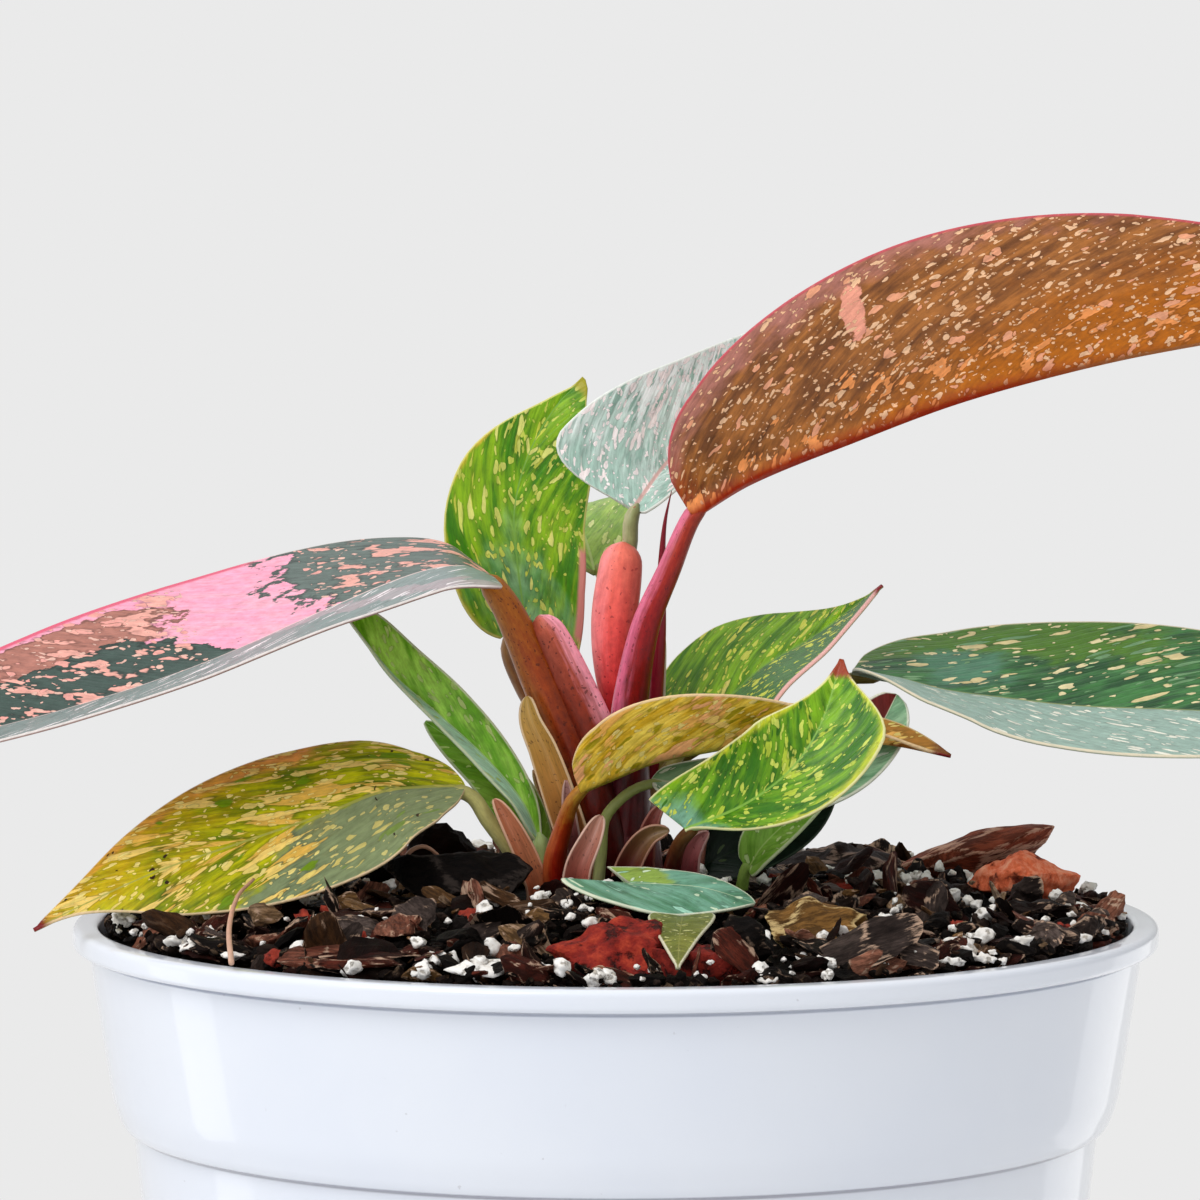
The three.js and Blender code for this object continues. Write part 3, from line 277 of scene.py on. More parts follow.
# Small sheaths at the foot of the stalks: name, line of the middle, the way the inside looks, half
# widths, how far the sides fold up, and colours of the foot, the middle, the tip and the pale rim
SHEATHS = (
    ("sheath_tan_left", [(-3.6, -5, 121), (-5, -5.6, 128.5), (-7.5, -6.8, 136.5), (-9.7, -7.2, 142.5),
        (-11.6, -7, 146.5), (-12.4, -6, 150)], (-0.3, -1, 0.2), (3.2, 3.4), 30,
        ("B87A5C", "C88E48", "CCA650", "F0D4B0")),
    ("sheath_rose_left", [(-11.6, -6.6, 117), (-11.4, -7.4, 122.5), (-12.6, -8.6, 126.5),
        (-14.5, -9.8, 131), (-17, -10.2, 136)], (0.3, -1, 0.2), (2.6, 2.0), 30,
        ("C04E2A", "D4865E", "C07452", "F0C4A4")),
    ("sheath_oval_front", [(-6, -12, 117), (-5.5, -13, 123.5), (-5, -14, 127), (-3.5, -14, 130.5),
        (-2, -13, 134)], (-0.1, -1, 0.2), (2.5, 2.5), 25, ("7A1810", "A8584A", "B07A64", "E8C4B0")),
    ("sheath_pink_right", [(10, -10.5, 118), (10, -11.5, 124), (10.4, -12.6, 128), (11.4, -13.4, 130.2),
        (12.8, -14, 131.8)], (-0.1, -1, 0.2), (2, 2), 20, ("6A0E18", "943840", "B46E6C", "E0B4B0")),
    ("sheath_maroon_low", [(0.5, -10.5, 119), (1.3, -11, 125), (2.8, -11.6, 128.6), (4.8, -12.4, 131),
        (7.4, -13.2, 132)], (0, -1, 0.3), (2.4, 2.4), 25, ("2E0206", "5A1A10", "84683C", "C08A74")),
    ("sheath_red_middle", [(4.2, -7, 120), (4, -8.5, 126), (4.4, -9.6, 130.5), (5.4, -10.4, 133.5),
        (6.6, -10.8, 135.4)], (0, -1, 0.3), (1.8, 1.8), 25, ("3A0206", "6E1C18", "924A40", "A86A5C")),
    ("sheath_pale_bud", [(-5, -5.5, 119), (-5, -6.5, 124.5), (-6, -8, 130), (-6.7, -8.6, 135.5),
        (-6.9, -8.8, 138.5)], (0, -1, 0.2), (1.5, 1.5), 25, ("4A1014", "7A3230", "A87870", "C8A89C")),
    ("sheath_amber_left", [(-6.5, 5, 118), (-7.2, 5.5, 123.5), (-8.3, 6, 129), (-10, 6.2, 134.5),
        (-11.6, 6.2, 138.5)], (0.3, -1, 0.1), (1.7, 1.7), 25, ("B0704A", "B98248", "C08A5A", "E0C09A")),
    ("sheath_dry_back", [(5, 7.5, 120), (5, 8.5, 127), (5.5, 9, 139.5), (6, 9, 149.5), (6.7, 9, 158)],
        (0, -1, 0.1), (1.7, 1.7), 25, ("A89A80", "BDB096", "C8BCA4", "DDD4C0")),
)
SHEATH_FORM = dict(
    round=(0.35, 0.35), taper=(0.4, 0.4), start=(0.1, 0.1), curl=(30, 30), ridge=0, thick=0.45,
)

# The crown and the rolled new leaves, coloured from the foot to the tip
CROWN = dict(
    name="crown_stem", path=[(1, 1, 112), (1, 1, 121), (1.2, 1.2, 128), (1.6, 1.4, 136)],
    radius=(6.2, 5.8, 3.6), codes=("3C0206", "5C0510", "6E0A14"),
)
SPEARS = (
    dict(
        name="new_leaf_spear",
        path=[(4.4, 4.6, 124), (5.3, 5.4, 143), (6.2, 5.2, 157), (6.6, 4.2, 169.5), (7, 3.8, 174),
            (7.9, 3.6, 178.3)], radius=(1.2, 1.0, 0.7), codes=("6A0E1E", "8A1228", "7A0C20"),
    ),
    dict(
        name="new_leaf_bud",
        path=[(11, -5, 118), (11.6, -3.5, 128), (13.4, -2, 136), (17.3, 0, 144), (22, 0.4, 150)],
            radius=(1, 1, 0.3), codes=("8A4038", "B87A6A", "D0A890"),
    ),
)

# Stones and slabs: name, size, turn about X, Y and Z, seed, and colours from dark to light, then of
# the pits of a stone or the pale broken edges of a slab, which are partly painted edge highlights
STONES = (
    ("lava_rock_front", (15.5, 14, 11), (6, -8, 20), 137, ("4A0804", "86180A", "B84024", "1C0402")),
    ("lava_rock_middle", (15, 10, 7.5), (0, 5, -12), 23, ("320604", "741408", "A02E1C", "1C0402")),
    ("lava_rock_right", (17, 14, 9), (0, 0, 8), 88, ("C04624", "F0744A", "FFB08C", "6A1E10")),
)
SLABS = (
    ("bark_slab_red", (23, 9, 4), (2, -11, 6), 116, ("54200F", "A4523A", "CC8066", "D8A890")),
    ("bark_mound_right", (18, 13, 6), (6, 4, -10), 80, ("0E0706", "281612", "5A403A", "A58A7C")),
    ("bark_chunk_tan", (12, 9, 5), (24, -14, 25), 62, ("4A2C14", "8E6634", "B48E54", "D8BC84")),
    ("bark_chunk_black", (18, 10, 7), (10, 6, -8), 84, ("020101", "050303", "100C0A", "3A322E")),
)
STONE_DETAIL = 5
STONE_RIPPLE = 2.2

# What lies on the mix stays within this radius. What is strewn on it keeps this gap to the points of
# the plant and the stones that are below this height.
WALL_CLEAR = 72.1
PLANT_GAP = 1.0
PLANT_CLEAR_HEIGHT = 134

POT_SIDES = 160
DRILL_SIDES = 24
# Painted shade round the pot, as dark lines in the groove under its lip and below the step: height,
# width and strength
POT_SHADE_LINES = ((114.3, 0.4, 0.3), (89.2, 0.5, 0.7))

# The stage, its floor in metres: it runs into the backdrop between two radii
FLOOR_RADIUS = 6
FLOOR_SIDES = 96
FLOOR_FADE = (0.2, 0.42)
ROOM_DIM = 0.45
ROOM_BRIGHT = 1.25
CAMERA_CLIP = (0.01, 50)

# How the kinds of laid piece are cut: depth and thickness as shares of the width and the height seen,
# the number of cuts, how rough and how bent
CUTS = {
    "slab": (0.5, 1.0, 14, 0.25, 0),
    "flake": (0.8, 0.3, 12, 0.12, 0.12),
    "curl": (0.55, 0.35, 12, 0.15, 0.5),
    "block": (0.75, 0.9, 13, 0.3, 0),
    "stick": (0.35, 0.3, 10, 0.1, 0.1),
    "lava": (0.8, 1.0, 12, 0.5, 0),
}
LAID_SEED = 900

# Kinds of strewn piece: detail of the ball that each is cut from, least and greatest length, width and
# thickness as shares of the length, the number of cuts and how rough
STREWN = {
    "crumb": (2, (1.2, 4.5), (0.5, 0.9), (0.4, 0.8), 9, 0.1),
    "chip": (3, (5, 14), (0.4, 0.85), (0.16, 0.4), 12, 0.12),
    "flake": (3, (5, 13), (0.4, 0.9), (0.08, 0.16), 11, 0.2),
    "splinter": (2, (1.2, 3.4), (0.25, 0.6), (0.2, 0.5), 9, 0.1),
    "grain": (3, (1.0, 4.4), (0.7, 1), (0.6, 0.9), 14, 0.06),
    "grit": (3, (2, 6), (0.6, 0.95), (0.5, 0.8), 12, 0.12),
}
FINE_DETAIL = 3
WHOLE_TOP = (0, 72)
# The three colours of bark chips: piece, group of laid pieces, share of the chips, seed and colours
CHIPS = (
    ("chips_dark", "dark", 0.44, 51, ("030202", "0A0605", "1C1210", "62544E")),
    ("chips_brown", "brown", 0.4, 52, ("0E0504", "30110C", "5E281C", "A06A54")),
    ("chips_tan", "tan", 0.16, 53, ("20120A", "4E331E", "86623A", "B09A84")),
)
# The pale broken edges of the chips, which are partly painted edge highlights
CHIP_EDGE = "C4A48C"
SPLINTERS = 160
LAVA_BITS = 34

# Pale roots that lie on the mix
ROOTS = (
    [(-51, -57, 119), (-51.8, -48, 122.5), (-51.2, -38, 125.6), (-49.5, -30, 127)],
    [(-31, -12, 123), (-29, -11.4, 128.4), (-26.6, -11, 129.4), (-23.6, -10.6, 127)],
    [(-40, -30, 119.6), (-37, -32, 122.2), (-33.6, -33, 122.4), (-30.6, -34, 120)],
)
ROOT_RADII = (0.4, 0.34, 0.22)

# Pieces that the photograph shows clearly: kind, cut, place on the mix, width and height, how it
# leans about X and Y and is turned, and its shade within its kind from 0 to 1
LAID = (
    ("brown", "block", (-24.5, 12), (9.5, 9), (10, 0, 0), 0.1),
    ("dark", "block", (-33, 4), (7, 6), (10, 0, 20), 0.1),
    ("brown", "slab", (-34, -55), (20, 2.0), (0, 0, 3), 0.35),
    ("brown", "slab", (-34, -60), (11, 1.8), (0, 0, -3), 0.55),
    ("tan", "slab", (-64, -34), (9, 4.2), (10, 24, -20), 0.15),
    ("tan", "flake", (-37, -26), (5, 4.5), (50, 0, 15), 0.55),
    ("tan", "block", (-48, -27), (6, 3.5), (30, 0, 10), 0.75),
    ("tan", "flake", (-52, -2), (7, 3.1), (35, 10, 5), 0.65),
    ("tan", "curl", (-24, -26), (8, 4.2), (20, 24, -15), 0.45),
    ("dark", "flake", (-18, -49), (8, 4.2), (40, -18, 10), 0.8),
    ("tan", "curl", (-15, -28), (7, 3.7), (30, 18, -10), 0.35),
    ("tan", "block", (-12, -40), (6, 2.7), (20, -12, 5), 0.6),
    ("brown", "slab", (-12, -71), (8, 3.6), (20, 20, -10), 0.45),
    ("lava", "lava", (-47, -55), (3, 2.0), (0, 0, 0), 0.5),
    ("dark", "flake", (33, -56), (14, 7.4), (30, -20, 15), 0.75),
    ("dark", "flake", (41, -58), (7, 5.1), (45, 10, -10), 0.85),
    ("dark", "block", (17, -60), (8, 9.2), (20, 0, 0), 0.2),
    ("brown", "stick", (16, -63), (8, 8.1), (40, 45, 0), 0.6),
    ("lava", "lava", (46, -34), (3, 1.9), (0, 0, 0), 0.7),
    ("dark", "flake", (63, -9), (3, 4.9), (60, 10, 5), 0.9),
    ("dark", "flake", (67, -15), (3, 4.1), (60, -20, 10), 0.95),
    ("dark", "block", (56, -33), (4, 3.7), (20, 0, 0), 0.7),
    ("dark", "block", (63, -37), (7, 3.8), (10, 10, 0), 0.85),
    ("dark", "block", (58, -4), (6, 5.7), (20, -20, 0), 0.75),
    ("brown", "curl", (71, -13), (6, 6.8), (40, -40, 30), 0.9),
)
# White grains: place, width and height, shade, and how they lean where they do
LAID_GRAINS = (
    (-19, -70, 10, 2.8, 0.2), (-23, -60, 4.1, 2.9, 0.9, (0, 0, 20)),
    (-59, -43, 5.5, 1.5, 0.8, (0, 0, -20)), (-53, -50, 4.1, 1.4, 0.5),
    (-58, -40, 2.7, 1.9, 0.9, (0, 20, 0)), (-55, -41, 2.7, 2.4, 0.7),
    (-38, -47, 4.1, 1.5, 0.9, (0, 0, 10)), (-33, -48, 2.0, 1.0, 0.9), (-10, -63, 2.9, 1.2, 0.7),
    (-32, -17, 1.5, 2.5, 0.9), (-42, -14, 1.5, 1.3, 0.9), (49, -41, 4.0, 2.8, 1.0),
    (47, -50, 2.1, 2.7, 0.9), (37, 1, 3.2, 2.7, 1.0), (37, -32, 3.0, 1.7, 0.8), (44, 11, 3.4, 1.8, 1.0),
    (30, 16, 5.3, 1.8, 0.9), (21, -9, 3.2, 2.9, 0.9), (40, 30, 2.0, 2.0, 0.3), (43, 31, 2.2, 2.0, 1.0),
    (46, -57, 3.6, 1.5, 0.7), (51, -53, 3.2, 1.4, 0.8), (20, -70, 2.5, 1.2, 0.6),
    (64, -34, 3.1, 1.3, 0.8), (69, -25, 2.5, 1.7, 1.0),
)
LAID += tuple(
    ("grain", "block", (x, y), (wide, high), lean[0] if lean else (0, 0, 0), shade)
    for x, y, wide, high, shade, *lean in LAID_GRAINS
)

# Softboxes, in metres: name, place, where they look, size and share of the light. The strips only
# show as reflections in the pot.
LAMPS = (
    ("key", (-0.75, -0.85, 1.25), (0, 0, 0.12), (0.9, 0.9), 1.0),
    ("strip_left", (-0.245, 0.01, 0.055), (-0.056, -0.046, 0.055), (0.055, 0.13), 0.0018),
    ("strip_right", (0.188, 0.118, 0.055), (0.066, -0.028, 0.055), (0.09, 0.13), 0.0016),
)


# Curves, noise and small sums over arrays of points

def unit(vectors):
    """The same directions, one long."""
    return vectors / np.maximum(np.linalg.norm(vectors, axis=-1, keepdims=True), 1e-9)


def through(values, t):
    """A value that runs through three numbers: at the base, half way and at the tip."""
    base, middle, tip = values
    return base * 2 * (t - 0.5) * (t - 1) + middle * 4 * t * (1 - t) + tip * 2 * t * (t - 0.5)


def ease(value, low, high):
    """0 below low, 1 above high, and smooth between them."""
    u = np.clip((value - low) / (high - low), 0, 1)
    return u * u * (3 - 2 * u)


def spot(t, s, along, across, long, wide, lean):
    """Above zero inside an oval on a blade, which leans along the veins."""
    shift = lean * 0.1 * (np.abs(s) - np.abs(across))
    return 1 - np.hypot((t - along - shift) / long, (s - across) / wide)


def ripples(points, length, seed, waves=12):
    """Smooth random relief between about -1 and 1, from a few crossing waves of this length."""
    draw = np.random.default_rng(seed)
    way = unit(draw.normal(size=(waves, 3))) * draw.uniform(0.6, 1.6, (waves, 1)) * 2 * np.pi / length
    shift = draw.uniform(0, 2 * np.pi, waves)
    return np.sin(points @ way.T + shift).sum(-1) / math.sqrt(waves)


def full_turn(sides):
    """Angles that divide a full turn evenly."""
    return 2 * np.pi * np.arange(sides) / sides


def circle(radius, turn, height):
    """A level ring of points."""
    return np.stack([radius * np.cos(turn), radius * np.sin(turn), height + 0 * turn], -1)


class SmoothCurve:
    """A smooth curve through given points, its parameter spread by the distance between them."""

    def __init__(self, points):
        self.points = np.array(points, float)
        steps = np.linalg.norm(np.diff(self.points, axis=0), axis=1)
        self.knots = np.concatenate([[0], np.cumsum(steps)])
        self.length = self.knots[-1]
        here = np.arange(len(self.points))
        before = np.maximum(here - 1, 0)
        after = np.minimum(here + 1, len(here) - 1)
        span = (self.knots[after] - self.knots[before])[:, None]
        self.slopes = (self.points[after] - self.points[before]) / span

    def at(self, t):
        """The points at these shares of the way."""
        distance = np.clip(t, 0, 1) * self.length
        i = np.searchsorted(self.knots[1:-1], distance)
        span = self.knots[i + 1] - self.knots[i]
        u = ((distance - self.knots[i]) / span)[:, None]
        span = span[:, None]
        point = self.points[i] * (1 + 2 * u) * (1 - u) ** 2 + self.slopes[i] * span * u * (1 - u) ** 2
        point = point + self.points[i + 1] * u * u * (3 - 2 * u)
        return point + self.slopes[i + 1] * span * u * u * (u - 1)

    def along(self, t, step=0.002):
        """The way the curve runs there."""
        return unit(self.at(np.minimum(t + step, 1)) - self.at(np.maximum(t - step, 0)))


def ground_height(x, y):
    """The top of the mix: a low mound, a little lower where the front stones lie."""
    mound = SOIL_EDGE_HEIGHT + SOIL_MOUND * (1 - (x * x + y * y) / SOIL_RADIUS ** 2)
    dip = ((x - DIP_X) ** 2 + (y - DIP_Y) ** 2) / (2 * DIP_SPREAD ** 2)
    return mound - DIP_DEPTH * np.exp(-dip)


# Meshes

class PieceMesh:
    """Gathers the surfaces of one piece, and what every point knows of its place there."""

    def __init__(self):
        self.points = []
        self.faces = []
        self.slots = []
        self.marks = []
        self.count = 0

    def add(self, points, faces, slot=0, **marks):
        """Points, their faces, the number of their material, and for each mark three numbers a point."""
        self.points.append(points)
        self.marks.append(marks)
        for block in faces:
            self.faces += (block + self.count).tolist()
            self.slots += [slot] * len(block)
        self.count += len(points)

    def add_tube(self, rings, slot=0, **marks):
        """Rows of closed rings, joined to each other and closed by a fan at both ends."""
        rows, columns = rings.shape[:2]
        here = np.arange(rows * columns).reshape(rows, columns)
        on = np.roll(here, -1, axis=1)
        quads = np.stack([here[:-1], on[:-1], on[1:], here[1:]], -1).reshape(-1, 4)
        first = np.full(columns, rows * columns)
        start = np.stack([first, on[0], here[0]], -1)
        end = np.stack([first + 1, here[-1], on[-1]], -1)

        def with_ends(values):
            ends = [values[0].mean(0, keepdims=True), values[-1].mean(0, keepdims=True)]
            return np.concatenate([values.reshape(-1, 3), *ends])

        marks = {name: with_ends(values) for name, values in marks.items()}
        self.add(with_ends(rings), [quads, start, end], slot, **marks)

    def show(self, name, paints, stands_for=(), smooth=True):
        """Makes the mesh an object that rides on the part and stands for its solids."""
        mesh = bpy.data.meshes.new(name)
        mesh.from_pydata(np.concatenate(self.points) * MM, [], self.faces)
        for mark in sorted({key for marks in self.marks for key in marks}):
            values = [m.get(mark, np.zeros((len(p), 3))) for m, p in zip(self.marks, self.points)]
            attribute = mesh.attributes.new(mark, "FLOAT_VECTOR", "POINT")
            attribute.data.foreach_set("vector", np.concatenate(values).astype(np.float32).ravel())
        for paint in paints:
            mesh.materials.append(paint)
        mesh.polygons.foreach_set("material_index", self.slots)
        mesh.polygons.foreach_set("use_smooth", [smooth] * len(self.faces))
        mesh.validate()
        mesh.update()
        thing = bpy.data.objects.new(name, mesh)
        bpy.context.scene.collection.objects.link(thing)
        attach(thing, BODY)
        if stands_for:
            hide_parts(*stands_for)
        return thing


# Stalks and blades, by the formulas of their solids

SIDE_HINT = unit(np.array([0, -1, 0.05]))


def add_stalk(piece, form, slot=0, sides=28, step=1.1, round_from=None, sharp_from=None):
    """A stem of changing thickness along a smooth curve, oval where it is flattened. Its end is round
    or drawn out to a point from a share of its length on."""
    curve = SmoothCurve(form["path"])
    rows = max(10, int(curve.length / step))
    t = np.linspace(0, 1, rows + 1)
    forward = curve.along(t)
    across = unit(np.cross(forward, SIDE_HINT))
    depth = unit(np.cross(across, forward))
    wide = through(form["radius"], t)
    if round_from:
        wide = wide * np.sqrt(1 - np.clip((t - round_from) / (1.001 - round_from), 0, 1) ** 2)
    if sharp_from:
        wide = wide * (1 - 0.92 * np.clip((t - sharp_from) / (1 - sharp_from), 0, 1) ** 1.5)
    turn = 2 * np.pi * (np.arange(sides) + 0.5) / sides
    cos, sin = np.cos(turn)[None, :, None], np.sin(turn)[None, :, None]
    rings = curve.at(t)[:, None] + across[:, None] * wide[:, None, None] * cos
    rings = rings - depth[:, None] * (wide * form.get("flat", 1))[:, None, None] * sin
    spread = np.ones((rows + 1, sides))
    usual = float(np.mean(form["radius"]))
    place = np.stack([t[:, None] * spread, np.cos(turn) * spread, np.sin(turn) * spread], -1)
    vein = np.stack([turn * usual * spread, (t * curve.length)[:, None] * spread, 0 * spread], -1)
    piece.add_tube(rings, slot, place=place, vein=vein)


def half_width(form, side, t):
    """How far a half of a blade reaches from its rib."""
    keys = ("width", "round", "start", "taper", "heel", "beak")
    width, rise, start, taper, heel, (first, last, keep) = (form[key][side] for key in keys)

    def shape(share):
        return (share + start) ** rise * np.maximum(1 - share, 0) ** taper

    peak = shape(max(0, (rise - taper * start) / (rise + taper)))
    blunt = np.sqrt(1 - np.clip(1 - t / heel, 0, 1) ** 2)
    beak = 1 - (1 - keep) * ease(t, first, last)
    return np.maximum(width * shape(t) / peak * blunt * beak, TIP_WIDTH / 2)


def blade_points(form, t, s, lift):
    """Points of a blade at shares t of its rib and s of its half width, raised by lift mm."""
    curve = SmoothCurve(form["rib"])
    forward = curve.along(t[:, 0])[:, None]
    lower, upper = np.array(form["face"][0]), np.array(form["face"][-1])
    right = unit(np.cross(forward, lower + (upper - lower) * t[..., None]))
    normal = unit(np.cross(right, forward))
    left = s < 0
    sign = np.where(left, -1, 1)

    def pick(pair):
        return np.where(left, pair[1], pair[0])

    half = np.where(left, half_width(form, 1, t), half_width(form, 0, t))
    share = np.abs(s)
    crease = 0.5 / np.maximum(half, 1)
    soft = np.sqrt(share ** 2 + crease ** 2) - crease
    fold = np.where(left, through(form["fold"][1], t), through(form["fold"][0], t))
    angle = np.radians(fold + pick(form["curl"]) * share / 2)
    slant = np.radians(fold + pick(form["curl"]) * share) * ease(share * half, 0, 0.8)
    height, count, begin = form["wave"]
    wave = height * share ** 2 * np.sin(np.pi * (count * t + begin + left * 0.6)) * half
    across = sign * half * share * np.cos(angle)
    rise = half * soft * np.sin(angle) + wave / pick(form["width"])
    back = pick(form["lobe"]) * (1 - t) ** 3 * (share * half / pick(form["width"])) ** 1.5
    out = normal * np.cos(slant)[..., None] - right * (sign * np.sin(slant))[..., None]
    point = curve.at(t[:, 0])[:, None] + right * across[..., None] + normal * rise[..., None]
    return point - forward * back[..., None] + out * lift[..., None]


SHEATH_RELIEF = 0.3
# Rows of points along the margin: how far in they stand, in mm, and their share of the thickness
MARGIN_STEPS = ((0.32, 1.0), (0.12, 0.85), (0.03, 0.5), (0.0, 0.12))
NARROWEST = 0.34
VEIN_SPACING = 4.2
VEIN_BEND = 0.35
QUILT_HEIGHT = 0.13
GROOVE_DEPTH = 0.16
GROOVE_WIDTH = 0.6
BLADE_ROWS = (26, 120)
BLADE_COLUMNS = (4, 24)


def add_blade(piece, form, look, relief, step=0.9):
    """A blade: a thin sheet with round margins, sunken side veins and a keel under its rib."""
    form = {**BLADE_DEFAULTS, **form}
    length = SmoothCurve(form["rib"]).length
    rows = int(np.clip(length / step, *BLADE_ROWS))
    u = np.linspace(0, 1, rows + 1)
    t = (0.55 * u ** 1.35 + 0.45 * (1 - np.cos(np.pi * u)) / 2)[:, None]
    count = int(np.clip(max(form["width"]) / step, *BLADE_COLUMNS))
    inner = np.linspace(0, 1, count + 1)
    sides = []
    for side in (0, 1):
        half = half_width(form, side, t)
        s = [inner[None, :] * (1 - MARGIN_STEPS[0][0] / np.maximum(half, NARROWEST))]
        s += [1 - gap / np.maximum(half, NARROWEST) for gap, _ in MARGIN_STEPS[1:]]
        sides.append((np.clip(np.concatenate(s, 1), 0, 1), half))
    (s_right, half_right), (s_left, half_left) = sides
    s = np.concatenate([-s_left[:, :0:-1], s_right], 1)
    half = np.where(s < 0, half_left, half_right)
    skin = np.array([1.0] * (count + 1) + [share for _, share in MARGIN_STEPS[1:]])
    skin = np.concatenate([skin[:0:-1], skin]) * np.ones_like(s) * form["thick"] / 2
    y = np.abs(s) * half
    x = t * length
    sweep = look["sweep"]
    if isinstance(sweep, tuple):
        sweep = sweep[0] + (sweep[1] - sweep[0]) * t
    slope = np.sqrt(1 + sweep * sweep)
    across = (x - sweep * y - VEIN_BEND * y * y / np.maximum(half, 1)) / slope
    run = (sweep * x + y) / slope + VEIN_BEND * np.sign(s) * y
    calm = ease(y, 0.3, 2.5) * ease(half - y, 0.3, 3) * ease(t, 0.02, 0.12) * ease(1 - t, 0.02, 0.15)
    quilt = QUILT_HEIGHT * relief * calm * (np.abs(np.sin(np.pi * across / VEIN_SPACING)) ** 0.7 - 0.7)
    groove = GROOVE_DEPTH * relief * np.exp(-((y / GROOVE_WIDTH) ** 2))
    keel = form["ridge"] * (1 - 0.75 * t) * np.exp(-((y / (0.5 + 0.5 * form["ridge"])) ** 2))
    top = blade_points(form, t, s, skin + quilt - groove)
    bottom = blade_points(form, t, s, quilt - skin - keel)
    rings = np.concatenate([top, bottom[:, ::-1]], 1)
    fields = [inside(t, s) * np.ones_like(s) for *_, inside in look["regions"]]
    fields += [0 * s] * (3 - len(fields))
    quiet = np.clip(look["quiet"](t, s), 0, 1) if "quiet" in look else 0
    flat = dict(
        place=(t * np.ones_like(s), s, 0 * s),
        reach=(y, half - y, 0 * s),
        vein=(across, run, quiet * np.ones_like(s)),
        tone=[np.clip(field, -1, 1) for field in fields],
    )
    marks = {}
    for name, values in flat.items():
        upper = np.stack(values, -1)
        lower = upper.copy()
        if name == "place":
            lower[..., 2] = 1
        marks[name] = np.concatenate([upper, lower[:, ::-1]], 1)
    piece.add_tube(rings, **marks)
